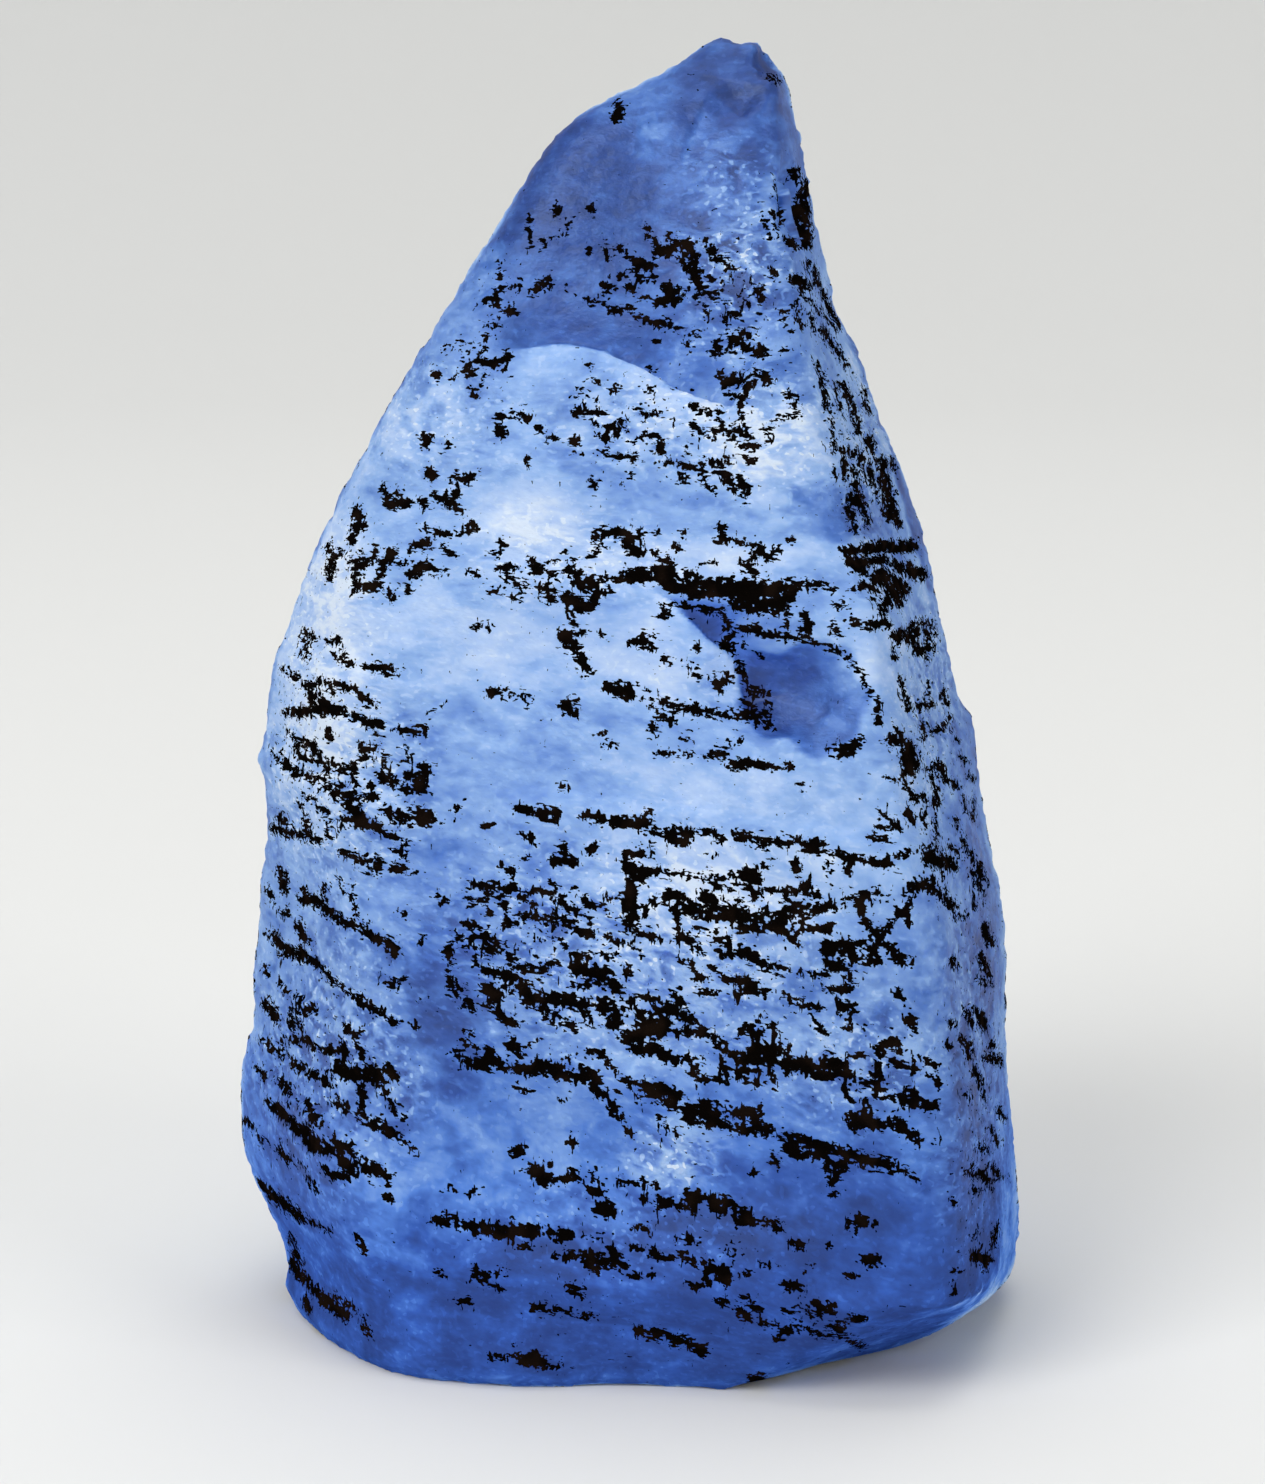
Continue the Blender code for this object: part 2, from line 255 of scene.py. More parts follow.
# %% Hollows and steps on the front
# (middle x, middle y, half width, half height, turned by, depth in mm, paler by)
HOLLOWS = (
    (806, 696, 70, 58, 8, 0.62, -0.30),  # the round scoop
    (742, 98, 26, 17, 20, 0.16, -0.08),  # chip under the tip
    (768, 62, 17, 17, 40, 0.16, -0.20),  # the tip's second lobe
    (789, 206, 16, 46, -8, 0.40, -0.06),  # hollow on the right shoulder
    (834, 512, 58, 32, 6, 0.16, -0.14),  # shallow chip on the right
    (640, 168, 64, 40, -24, 0.14, 0.0),  # the smooth shoulder
    (655, 131, 17, 9, -10, 0.10, 0.10),  # small oval chip on the shoulder
    (452, 1012, 44, 92, -12, 0.16, -0.10),  # bare patch low on the left edge
    (690, 1166, 80, 34, 14, 0.12, 0.0),  # bare patch low in the middle
    (905, 1005, 26, 96, -4, 0.14, -0.06),  # smooth lobe beside the right edge
)
# (its corners, the side that lies lower: 1 is below a line that runs right, depth in mm, fades
# over, how much paler the lower side is, and the higher side deeper)
STEPS = (
    (((500, 352), (560, 342), (605, 349), (643, 369), (684, 392), (742, 411)), -1, 0.42, 80, -0.20),
    (((650, 588), (664, 598), (700, 628), (733, 660), (743, 700), (750, 722)), -1, 0.46, 54, -0.30),
    (((712, 88), (700, 112), (686, 146), (680, 172)), -1, 0.08, 44, 0.10),
    # no step here, only painted shade: the right face deeper blue than the front
    (((838, 318), (868, 396), (896, 476), (914, 544), (934, 620)), -1, 0.0, 18, -0.24),
    (((590, 815), (650, 829), (735, 835), (824, 850), (890, 866), (935, 860)), 1, 0.10, 34, 0.06),
    (((595, 572), (720, 582), (836, 603)), 1, 0.14, 40, 0.0),
    (((844, 549), (916, 549)), 1, 0.20, 30, 0.0),
    (((295, 888), (345, 915), (397, 953)), 1, 0.12, 30, 0.0),
    (((280, 937), (340, 985), (401, 1023)), 1, 0.16, 34, 0.0),
    (((266, 1096), (330, 1140), (388, 1182)), 1, 0.14, 30, 0.0),
    (((453, 1035), (520, 1052), (587, 1078)), 1, 0.12, 30, 0.0),
    (((784, 1133), (850, 1152), (918, 1179)), 1, 0.12, 34, 0.0),
    (((658, 1193), (720, 1203), (781, 1229)), 1, 0.09, 26, 0.0),
    (((428, 1216), (535, 1244), (640, 1262), (732, 1284)), 1, 0.09, 30, 0.0),
    (((656, 704), (707, 713), (768, 718)), 1, 0.10, 24, 0.0),
    (((303, 680), (376, 724)), 1, 0.08, 24, 0.0),
    (((337, 797), (439, 820)), 1, 0.08, 24, 0.0),
)
print(len(HOLLOWS), "hollows and", len(STEPS), "steps")

# %% How deep they are, and how pale
HOLLOW_RIM = 0.16  # share of a hollow's width over which its colour ends
HOLLOW_UNEVEN = 0.07  # how far a hollow's rim wanders off a plain ellipse
STEP_WALL = 6  # pixels over which a step drops
STEP_TAPER = 0.14  # share of its length over which a step dies out at each end


def along_line(x, y, corners):
    """Each place's distance to a line of corners, positive below it, and its share of the way along."""
    nearest = np.full(len(x), np.inf)
    signed, share = np.zeros(len(x)), np.zeros(len(x))
    lengths = [math.dist(a, b) for a, b in zip(corners, corners[1:])]
    for i, ((x0, y0), (x1, y1)) in enumerate(zip(corners, corners[1:])):
        run = np.clip(((x - x0) * (x1 - x0) + (y - y0) * (y1 - y0)) / lengths[i] ** 2, 0, 1)
        away = np.hypot(x - x0 - run * (x1 - x0), y - y0 - run * (y1 - y0))
        closer = away < nearest
        side = np.sign((x1 - x0) * (y - y0) - (y1 - y0) * (x - x0))
        signed[closer] = (away * side)[closer]
        share[closer] = ((sum(lengths[:i]) + run * lengths[i]) / sum(lengths))[closer]
        nearest = np.minimum(nearest, away)
    return signed, share


def breaks(x, y):
    """How deep each place is carved, in mm, and how much paler it is."""
    hollowed, stepped, paler = np.zeros(len(x)), np.zeros(len(x)), np.zeros(len(x))
    for middle_x, middle_y, half_width, half_height, turned, most, change in HOLLOWS:
        turn = math.radians(turned)
        right, down = x - middle_x, y - middle_y
        along = (right * math.cos(turn) + down * math.sin(turn)) / half_width
        across = (down * math.cos(turn) - right * math.sin(turn)) / half_height
        bearing = np.arctan2(across, along)
        waves = ((3, middle_x), (5, middle_y), (8, 0))
        wander = sum(np.sin(count * bearing + start) for count, start in waves)
        away = np.hypot(along, across) * (1 + HOLLOW_UNEVEN * wander)
        hollowed = np.maximum(hollowed, most * np.clip(1 - away**2, 0, 1))
        paler += change * smoothstep((1 - away) / HOLLOW_RIM)
    for corners, low_side, most, fades, change in STEPS:
        beyond, share = along_line(x, y, corners)
        beyond = beyond * low_side
        wall = smoothstep((beyond + STEP_WALL / 2) / STEP_WALL)
        fade = np.clip(1 - np.abs(beyond) / fades, 0, 1) ** 2
        taper = smoothstep(np.minimum(share, 1 - share) / STEP_TAPER)
        stepped += most * wall * np.where(beyond > 0, fade, 1) * taper
        paler += change * (2 * wall - 1) * fade * taper
    return hollowed + stepped, paler


print("the deepest, mm:", max(row[5] for row in HOLLOWS), "and", max(row[2] for row in STEPS))

# %% [markdown]
# ## The mineral film
# Dark minerals, most likely rich in iron, settled wherever the surface gave them a hold, mostly
# along growth lines, so the film lies in rows of flecks. Noise alone would scatter them anywhere,
# and this crystal is known by where its own are. So the places of those on the front are read
# from the photograph, one stroke at a time, as a painter would put them on: half the stroke's
# width, and then the corners of its line.

# %% Where the film lies
# (half the stroke's width, then x and y of each corner of its line, in pixels)
FILM_STROKES = (
    # the tip and the shoulder
    (6, 619, 106, 616, 119), (3.5, 558, 204, 557, 213), (3, 588, 209, 593, 211),
    (1.8, 529, 214, 531, 246), (1.8, 573, 216, 566, 234, 545, 241, 541, 252), (1.8, 499, 262, 500, 280),
    (2.5, 590, 248, 589, 256), (3, 604, 248, 608, 256), (4, 620, 249, 634, 261), (5, 634, 261, 650, 268),
    (3, 618, 277, 636, 270, 641, 284), (2.5, 653, 274, 653, 281), (2.5, 648, 226, 652, 238, 658, 252),
    (6, 658, 252, 672, 250), (3, 668, 236, 676, 246), (5, 676, 244, 690, 246), (6, 690, 246, 694, 262),
    (5, 684, 262, 696, 278), (4.5, 696, 278, 698, 294), (3.5, 698, 294, 722, 293),
    (3, 692, 270, 714, 280), (5, 606, 286, 613, 288), (3.5, 630, 286, 634, 292), (2, 567, 287, 571, 292),
    (3, 588, 300, 595, 301), (5, 534, 292, 549, 280), (2, 522, 277, 524, 283), (2.5, 512, 288, 519, 286),
    (4, 497, 297, 500, 290), (4, 489, 300, 497, 302), (4, 507, 313, 515, 309), (3.5, 493, 328, 497, 326),
    (1.8, 600, 299, 610, 311), (3, 612, 311, 632, 307), (1.8, 632, 312, 648, 321),
    (4.5, 650, 322, 668, 324), (2, 668, 324, 688, 334, 702, 335), (5, 658, 302, 678, 300),
    (6, 668, 288, 674, 296), (2, 680, 290, 692, 288), (1.5, 642, 297, 660, 298),
    (2.5, 707, 243, 716, 256, 730, 268), (3, 701, 272, 706, 276), (3, 705, 303, 711, 317),
    (3.5, 728, 314, 740, 316), (4, 728, 330, 738, 338), (2.5, 738, 330, 752, 336), (3, 768, 76, 777, 80),
    (3.5, 794, 170, 796, 178), (1.5, 772, 174, 773, 196), (1.8, 778, 184, 784, 200),
    (3, 786, 205, 788, 222), (2.5, 772, 214, 776, 230), (3, 781, 236, 790, 242),
    (5.5, 790, 242, 806, 246), (5, 803, 185, 806, 240), (5, 800, 208, 803, 236),
    (1.8, 762, 212, 768, 240), (3.5, 772, 268, 775, 278), (3.5, 757, 290, 762, 296),
    (2, 744, 302, 750, 304), (2, 756, 308, 759, 310), (6, 793, 280, 804, 287), (2, 806, 264, 808, 268),
    (4, 813, 270, 817, 285), (2.5, 798, 290, 806, 300), (3.5, 822, 292, 836, 322),
    (2, 806, 300, 818, 312, 838, 330), (3, 782, 312, 790, 332), (2.5, 794, 302, 802, 330),
    (2, 808, 312, 814, 330),
    # from the diagonal ridge down to the slab
    (4, 482, 362, 500, 364, 510, 358), (3, 505, 350, 508, 356), (2.2, 586, 362, 590, 368),
    (2, 590, 378, 602, 384), (3.5, 612, 388, 618, 388), (2, 656, 340, 659, 344),
    (2.5, 652, 366, 656, 368), (2, 681, 387, 683, 389), (2, 642, 388, 652, 392),
    (1.8, 570, 398, 580, 390, 598, 402), (3.2, 574, 412, 604, 413), (2, 590, 418, 602, 428),
    (4, 600, 434, 606, 440), (3.5, 606, 430, 614, 424, 616, 434), (2.5, 622, 420, 626, 432),
    (4, 643, 411, 650, 414), (3, 655, 412, 659, 418), (2.5, 638, 438, 634, 444),
    (3, 646, 434, 658, 437, 664, 444), (5, 660, 444, 662, 452), (6, 500, 428, 502, 434),
    (3.8, 498, 418, 514, 414), (2.8, 514, 412, 530, 420), (3.5, 535, 426, 539, 428),
    (1.3, 544, 436, 558, 440), (3.5, 574, 439, 578, 440), (2.3, 527, 460, 528, 466),
    (2, 575, 452, 582, 454), (2.5, 600, 452, 608, 458), (2.5, 616, 456, 634, 460),
    (2.2, 656, 464, 668, 462, 680, 465), (4.2, 680, 465, 692, 467), (2.2, 692, 466, 706, 462),
    (4, 679, 476, 684, 480), (2.5, 701, 481, 716, 492), (2.2, 700, 470, 705, 476),
    (2.5, 592, 480, 595, 487), (2, 630, 470, 630, 480, 620, 484), (4, 693, 408, 702, 413),
    (2, 704, 412, 722, 412), (4, 693, 424, 699, 432), (2.5, 714, 430, 722, 432),
    (3.2, 717, 420, 724, 428), (2.2, 708, 438, 712, 440), (3.5, 726, 432, 732, 440),
    (3, 724, 457, 728, 462), (3, 745, 455, 753, 461), (4.5, 718, 466, 728, 480),
    (3.8, 728, 480, 735, 490), (5, 741, 481, 747, 492), (2.5, 743, 498, 746, 503),
    (6.5, 765, 376, 767, 380), (3.5, 757, 376, 748, 388, 742, 402), (3.2, 742, 402, 741, 420, 750, 438),
    (4, 742, 446, 756, 446), (3.8, 735, 428, 742, 432), (3.5, 718, 372, 726, 385),
    (5, 726, 380, 745, 380), (2.5, 726, 392, 738, 396), (5, 733, 340, 745, 345),
    (4.5, 745, 345, 756, 352), (3, 716, 340, 716, 354), (2.5, 712, 352, 724, 350),
    (2.5, 688, 344, 694, 346), (6, 759, 350, 763, 354), (5, 597, 532, 640, 533), (3, 640, 531, 638, 540),
    (6, 630, 537, 633, 552), (5, 634, 551, 641, 553), (3, 597, 532, 597, 542), (2.5, 600, 545, 612, 548),
    (2, 655, 532, 660, 533), (2.5, 681, 534, 686, 534), (3, 675, 546, 680, 550), (3, 651, 552, 657, 555),
    (4, 500, 540, 504, 546), (2.5, 488, 552, 496, 557), (3.5, 500, 568, 516, 571),
    (2.5, 566, 553, 568, 557), (2.2, 590, 557, 598, 552), (4.5, 531, 562, 540, 570),
    (3.2, 540, 570, 556, 576), (2, 548, 563, 558, 559), (4, 570, 570, 575, 562), (4, 568, 574, 580, 573),
    (3.8, 508, 580, 522, 586), (2.2, 522, 584, 540, 586), (3.5, 547, 583, 550, 603),
    (2.2, 540, 590, 560, 594), (3.5, 515, 597, 522, 592), (2, 489, 591, 500, 590),
    (6, 570, 574, 590, 590), (7, 568, 598, 588, 606), (5, 590, 580, 596, 600), (3.5, 600, 580, 625, 578),
    (3.5, 603, 592, 612, 590), (7.5, 625, 576, 668, 573), (5, 668, 560, 672, 575),
    (7.5, 665, 578, 700, 592), (4, 686, 574, 700, 578), (9.5, 700, 588, 745, 590),
    (4.5, 712, 582, 730, 580), (4, 722, 528, 722, 540), (3, 722, 538, 745, 543, 756, 545),
    (4.8, 756, 552, 758, 556), (1.6, 701, 565, 716, 562), (2, 667, 552, 668, 558),
    (3.5, 744, 562, 756, 576),
    # the right face, high up
    (4, 785, 395, 797, 400), (2.5, 790, 408, 799, 414, 780, 420), (2.8, 765, 426, 770, 438),
    (3, 783, 350, 790, 350), (3, 817, 362, 822, 384), (2, 822, 384, 825, 410),
    (1.4, 828, 400, 832, 440, 834, 452), (1.6, 834, 384, 838, 410), (3.8, 842, 386, 850, 410),
    (3.2, 850, 410, 856, 432), (2.5, 842, 450, 846, 478), (2.5, 834, 470, 836, 477),
    (3.5, 862, 392, 866, 414), (4, 850, 452, 858, 456), (5, 866, 440, 870, 450),
    (2.8, 858, 458, 866, 482), (2.5, 868, 462, 872, 482), (3.5, 852, 470, 860, 500),
    (2, 868, 480, 880, 500), (3.8, 874, 462, 884, 462), (5.5, 880, 465, 886, 490),
    (7, 886, 490, 892, 515), (4, 892, 515, 897, 524), (2.5, 890, 460, 893, 468),
    (5.2, 852, 498, 862, 504), (4, 852, 504, 852, 520), (3.5, 862, 504, 868, 524),
    (2.5, 852, 520, 857, 531), (4, 822, 332, 838, 352), (2.8, 838, 352, 846, 366),
    (5.5, 845, 552, 870, 548), (6.5, 870, 548, 912, 546), (6.5, 850, 560, 862, 570),
    (6, 862, 562, 885, 560), (10, 880, 578, 900, 590), (7, 895, 565, 920, 575), (6, 890, 590, 898, 604),
    (4, 862, 585, 876, 592), (3, 852, 590, 862, 588), (2, 870, 594, 874, 603), (4.8, 758, 546, 768, 556),
    (3.8, 768, 556, 778, 552), (2.5, 785, 542, 793, 540), (4.5, 745, 565, 756, 575),
    (9.5, 745, 588, 790, 592), (4, 790, 582, 800, 584), (4, 800, 588, 824, 584),
    (3.3, 824, 584, 835, 592), (2.5, 836, 604, 846, 608), (9, 740, 604, 778, 606),
    (6, 742, 630, 756, 630), (3.5, 756, 634, 790, 636), (3.5, 790, 638, 806, 638),
    (5.5, 806, 630, 810, 624), (3, 800, 616, 806, 612), (2.2, 786, 612, 788, 640),
    # the left face, high up
    (2.2, 434, 372, 438, 378), (2, 446, 346, 447, 352), (2, 460, 368, 480, 362, 500, 362),
    (2.5, 472, 390, 478, 398), (6, 425, 438, 427, 443), (3, 448, 440, 449, 448), (6, 431, 472, 432, 474),
    (4.5, 452, 479, 470, 478), (2.8, 470, 477, 477, 476), (4, 384, 488, 388, 502),
    (5.5, 388, 504, 408, 504), (3.8, 396, 492, 402, 498), (3.3, 422, 498, 426, 508),
    (5, 438, 498, 452, 500), (3.8, 452, 495, 458, 492), (3.2, 450, 506, 462, 512),
    (6, 358, 511, 359, 524), (2.2, 366, 516, 364, 530), (5, 357, 525, 353, 542),
    (2.5, 421, 530, 428, 527), (3.5, 436, 535, 460, 533), (4, 460, 533, 472, 528),
    (3, 472, 522, 475, 528), (2.5, 410, 550, 418, 545), (4, 418, 545, 429, 544),
    (3.5, 444, 545, 446, 550), (2.8, 444, 552, 458, 556), (3.5, 328, 546, 336, 556, 342, 554),
    (5, 332, 562, 330, 575), (2.3, 336, 566, 334, 572), (3.8, 352, 562, 362, 560),
    (5, 358, 568, 368, 562), (2.5, 362, 555, 366, 566), (3.3, 376, 546, 376, 560),
    (2.3, 368, 565, 376, 562), (2.6, 388, 553, 396, 550), (3.6, 358, 575, 356, 590),
    (5.5, 366, 588, 380, 586), (4, 378, 580, 384, 570, 386, 560), (5, 384, 562, 392, 556),
    (2.8, 390, 590, 391, 600), (2.4, 400, 565, 406, 562), (5.5, 412, 574, 428, 566),
    (2.6, 435, 574, 446, 573), (2.6, 470, 572, 480, 576), (3.6, 406, 585, 410, 592),
    # the left face, halfway down
    (4, 306, 632, 314, 638), (3, 306, 640, 307, 652), (3.5, 304, 654, 310, 658), (4, 330, 642, 338, 640),
    (2.5, 344, 652, 346, 658), (3.2, 338, 660, 352, 664), (3, 364, 668, 380, 668),
    (5.5, 376, 667, 390, 670), (3, 388, 670, 397, 673), (2.8, 284, 671, 298, 676),
    (2.4, 318, 680, 334, 682), (3.3, 306, 684, 320, 684), (4.5, 310, 690, 316, 706),
    (3.3, 330, 684, 336, 694), (3.6, 338, 686, 356, 688), (4, 320, 696, 328, 708),
    (3.3, 286, 712, 300, 712), (5.5, 296, 713, 336, 709), (6, 322, 702, 336, 712),
    (3.3, 340, 711, 358, 716), (2.3, 352, 712, 356, 722), (3.3, 362, 699, 372, 703),
    (2.5, 370, 702, 378, 706), (3.3, 362, 718, 372, 722), (5, 368, 722, 380, 726),
    (2.4, 374, 726, 377, 733), (4, 330, 732, 331, 737), (2, 398, 728, 404, 730),
    (4.3, 408, 731, 424, 732), (2.2, 420, 726, 426, 722), (1.3, 405, 734, 409, 756),
    (2.2, 404, 762, 409, 760), (2.2, 275, 752, 282, 765), (1.7, 283, 745, 286, 760),
    (1.8, 289, 732, 300, 745), (3.6, 298, 742, 302, 758), (3.6, 304, 741, 318, 745),
    (5, 312, 745, 322, 756), (3.3, 300, 758, 324, 762), (4.5, 284, 762, 298, 774),
    (3.5, 296, 774, 316, 778, 326, 778), (4, 324, 762, 330, 772), (3.2, 330, 762, 350, 768),
    (5, 344, 768, 356, 774), (2.2, 356, 764, 358, 776), (1.3, 340, 776, 341, 790),
    (3.3, 362, 745, 368, 752), (3.3, 360, 758, 370, 758), (1.4, 372, 742, 384, 752),
    (2, 384, 750, 386, 764, 394, 776), (3.6, 326, 787, 334, 790), (1.8, 336, 784, 344, 798),
    (1.9, 356, 776, 358, 795), (4.5, 338, 795, 360, 798), (3.6, 346, 798, 356, 806),
    (2.3, 360, 800, 380, 798), (3.3, 372, 784, 375, 796), (6, 348, 806, 362, 818),
    (3.5, 345, 818, 352, 820), (4.8, 358, 820, 366, 824), (1.8, 302, 797, 318, 798),
    (1.8, 300, 800, 306, 815), (2, 318, 806, 332, 812), (2, 328, 810, 334, 825), (5, 382, 776, 392, 780),
    (3.8, 390, 778, 400, 786), (2.6, 400, 787, 410, 793), (4.7, 408, 775, 420, 777),
    (4.7, 424, 766, 427, 774), (5.3, 412, 790, 424, 788), (3.2, 424, 776, 426, 786),
    (3.7, 382, 808, 392, 812), (2.8, 386, 814, 400, 812), (6.8, 398, 817, 425, 818),
    (2.4, 400, 824, 410, 826), (2, 425, 820, 442, 824), (2, 428, 812, 432, 818), (5, 372, 824, 384, 832),
    (3.3, 384, 832, 398, 838), (2.3, 398, 838, 412, 846), (5, 276, 828, 290, 832),
    (3.3, 280, 816, 288, 824), (4, 292, 832, 310, 836), (4.5, 308, 822, 312, 836),
    (4, 308, 837, 322, 840), (2.3, 330, 822, 332, 836), (1.4, 340, 818, 342, 832),
    (3.3, 344, 852, 362, 858), (3.8, 358, 856, 364, 862), (4.8, 362, 858, 380, 862),
    (2.6, 368, 872, 380, 868), (2, 376, 852, 380, 876), (2.8, 394, 848, 402, 852, 404, 858),
    (4, 394, 868, 406, 868), (2, 404, 870, 416, 873), (3, 280, 868, 286, 876), (3.3, 470, 626, 486, 624),
    (2.2, 484, 624, 488, 630), (1, 430, 713, 446, 703), (2.4, 453, 812, 460, 806),
    (2.5, 482, 827, 490, 825),
    # the middle
    (4, 490, 694, 502, 690), (2.4, 506, 700, 520, 694), (1.5, 520, 694, 532, 697, 528, 708),
    (4, 562, 704, 576, 702), (5.2, 564, 706, 574, 714), (2, 601, 736, 606, 732),
    (2.8, 607, 744, 618, 745), (2.2, 600, 633, 606, 636), (2.5, 572, 612, 574, 624),
    (4.5, 562, 634, 576, 634), (2.4, 576, 634, 586, 632), (7, 566, 640, 578, 652),
    (4.2, 576, 650, 584, 664), (4.7, 584, 664, 590, 668), (2, 578, 670, 592, 672),
    (6.5, 609, 687, 628, 690), (5.2, 618, 694, 630, 696), (1.8, 632, 686, 646, 688, 654, 696),
    (0.8, 636, 700, 654, 708), (3.7, 654, 706, 668, 702), (5, 668, 704, 700, 712),
    (4.8, 660, 716, 672, 720), (2, 690, 714, 692, 720), (3.2, 706, 712, 720, 714),
    (3.8, 720, 715, 745, 715), (3.5, 630, 642, 642, 640), (5.2, 640, 640, 650, 646),
    (2, 644, 634, 658, 638), (3.5, 661, 606, 668, 616), (2.2, 665, 656, 672, 662),
    (3.2, 696, 646, 697, 652), (3.5, 692, 668, 698, 678), (4.8, 714, 680, 722, 684),
    (2.7, 716, 686, 722, 690), (3.5, 726, 674, 731, 680), (2.3, 736, 668, 739, 674),
    (3, 651, 724, 653, 736), (2.2, 680, 738, 690, 737), (2.5, 658, 753, 686, 753),
    (2.2, 686, 752, 694, 758), (3.8, 706, 756, 726, 755), (2.6, 720, 758, 732, 762),
    (5.5, 732, 764, 750, 764), (3.7, 752, 765, 788, 767), (2.5, 722, 741, 740, 742),
    (3.5, 560, 786, 565, 786), (5.2, 518, 808, 530, 812), (3, 530, 814, 538, 814),
    (5.5, 538, 812, 556, 812), (3.5, 544, 818, 556, 820), (4.2, 586, 814, 602, 816),
    (3.5, 592, 820, 602, 822), (2.3, 604, 818, 616, 826), (6.5, 616, 821, 648, 823),
    (2.2, 646, 814, 651, 810), (3.5, 640, 829, 656, 834), (3, 656, 834, 670, 830),
    (5.5, 666, 831, 690, 833), (5.3, 672, 838, 686, 840), (2.3, 680, 846, 686, 844),
    (2.6, 700, 832, 712, 834), (4.7, 710, 831, 722, 838), (2.2, 720, 838, 726, 840),
    (4.8, 736, 835, 760, 841), (2, 712, 845, 716, 845), (2.5, 519, 834, 530, 836),
    (2.3, 532, 838, 536, 844), (2.3, 524, 858, 528, 856), (4.3, 562, 846, 564, 858),
    (5.2, 556, 860, 574, 862), (4.2, 592, 848, 593, 849), (2.5, 650, 842, 652, 855),
    (2, 706, 857, 711, 856), (3.5, 503, 866, 512, 872), (5, 628, 854, 640, 854),
    (3.3, 622, 862, 632, 870), (8.5, 630, 868, 642, 876), (4.2, 642, 870, 660, 872),
    (3, 660, 872, 682, 873),
    # round the scoop, and the right face beside it
    (1.8, 810, 640, 824, 648), (3.5, 824, 646, 834, 650), (3, 834, 648, 848, 658, 864, 680),
    (2.5, 864, 680, 870, 692), (4, 877, 704, 879, 722), (2.5, 824, 752, 838, 752),
    (5.5, 838, 750, 856, 745), (4.2, 840, 757, 852, 752), (3, 856, 742, 861, 738),
    (0.8, 740, 645, 760, 656), (4, 748, 690, 762, 690), (2.6, 764, 692, 766, 704),
    (4, 745, 700, 752, 710), (6.5, 745, 713, 766, 714), (2.6, 756, 722, 770, 726),
    (1.4, 738, 660, 746, 688), (3.5, 850, 622, 860, 624), (5.2, 870, 625, 886, 624),
    (3, 832, 624, 838, 634), (2.6, 834, 606, 838, 610), (6, 880, 612, 888, 600),
    (6.5, 895, 637, 912, 632), (3.8, 912, 624, 926, 622), (3.2, 922, 624, 926, 640),
    (5.5, 908, 640, 918, 652), (4, 918, 650, 932, 646), (2.3, 922, 652, 926, 660),
    (3, 893, 650, 894, 658), (3.2, 900, 680, 904, 700), (3, 902, 700, 908, 710),
    (2.4, 930, 620, 933, 636), (1.6, 927, 682, 924, 700), (4.2, 916, 706, 930, 704),
    (3.5, 941, 694, 944, 704), (2.4, 948, 718, 940, 730), (2.6, 930, 734, 940, 728),
    (3, 921, 740, 922, 724), (5.2, 890, 740, 902, 744), (2.6, 894, 728, 900, 736),
    (6.7, 905, 750, 908, 770), (5.5, 908, 746, 914, 764), (2, 888, 778, 896, 780),
    (4.2, 904, 784, 914, 800), (2.6, 924, 770, 934, 768), (4.7, 936, 764, 942, 776),
    (4, 942, 778, 956, 786), (2.3, 930, 776, 932, 792), (4, 934, 790, 936, 805),
    (2.3, 921, 796, 926, 802), (4.7, 907, 814, 912, 820), (2.6, 922, 814, 924, 830),
    (2, 934, 820, 937, 838), (1.7, 950, 730, 958, 742), (2.3, 960, 756, 966, 762),
    (2.6, 968, 776, 974, 780), (2.3, 954, 820, 957, 828), (2.3, 974, 800, 972, 818),
    (1.4, 962, 796, 964, 812), (2.9, 962, 840, 966, 852), (2.3, 968, 852, 972, 862),
    (4, 976, 866, 980, 878), (2.6, 874, 828, 894, 826), (3.4, 890, 824, 898, 829),
    (3.8, 872, 838, 886, 838), (3.2, 878, 812, 884, 814), (3.8, 760, 842, 800, 842),
    (5.2, 800, 843, 822, 845), (4.2, 806, 849, 818, 850), (3.8, 822, 850, 846, 856),
    (2.8, 852, 858, 870, 860), (4.6, 868, 862, 890, 864), (2.8, 890, 856, 906, 855),
    (2.4, 906, 852, 935, 845), (7.8, 928, 858, 952, 864), (2.6, 934, 850, 940, 852),
    (2.6, 950, 846, 955, 852), (4, 794, 862, 798, 870), (2.8, 826, 862, 830, 875),
    (3.5, 846, 858, 848, 874), (2.3, 740, 872, 760, 876), (2.3, 760, 868, 772, 864),
    (3.4, 800, 786, 804, 788),
    # the rows under the long growth line
    (3.3, 640, 906, 660, 904), (2, 644, 914, 656, 918), (2.3, 650, 900, 668, 900),
    (5, 668, 894, 690, 900), (7.3, 682, 906, 706, 912), (6.3, 706, 895, 716, 905),
    (6.3, 700, 915, 760, 918), (3.2, 690, 876, 760, 878), (3.8, 716, 886, 732, 890),
    (5, 724, 910, 740, 904), (3, 674, 908, 680, 928), (5, 680, 936, 690, 940), (2, 690, 944, 706, 952),
    (4.2, 640, 932, 656, 936), (2.2, 652, 932, 660, 938), (3.3, 694, 928, 716, 932),
    (3.6, 716, 936, 730, 950), (3.6, 720, 952, 740, 954), (2.8, 728, 936, 730, 950),
    (6.2, 748, 872, 758, 880), (4, 750, 884, 754, 896), (2.6, 678, 960, 692, 964),
    (2, 692, 960, 698, 976), (3.2, 706, 964, 718, 970), (2.3, 700, 976, 712, 978),
    (4, 722, 977, 756, 984), (3, 736, 986, 746, 990), (2.3, 700, 990, 716, 992), (2, 736, 992, 740, 998),
    (2.8, 744, 956, 760, 962), (3.2, 760, 890, 800, 890), (4.2, 800, 886, 812, 896),
    (3.4, 784, 894, 786, 900), (3.4, 812, 892, 820, 898), (2.3, 806, 880, 812, 888),
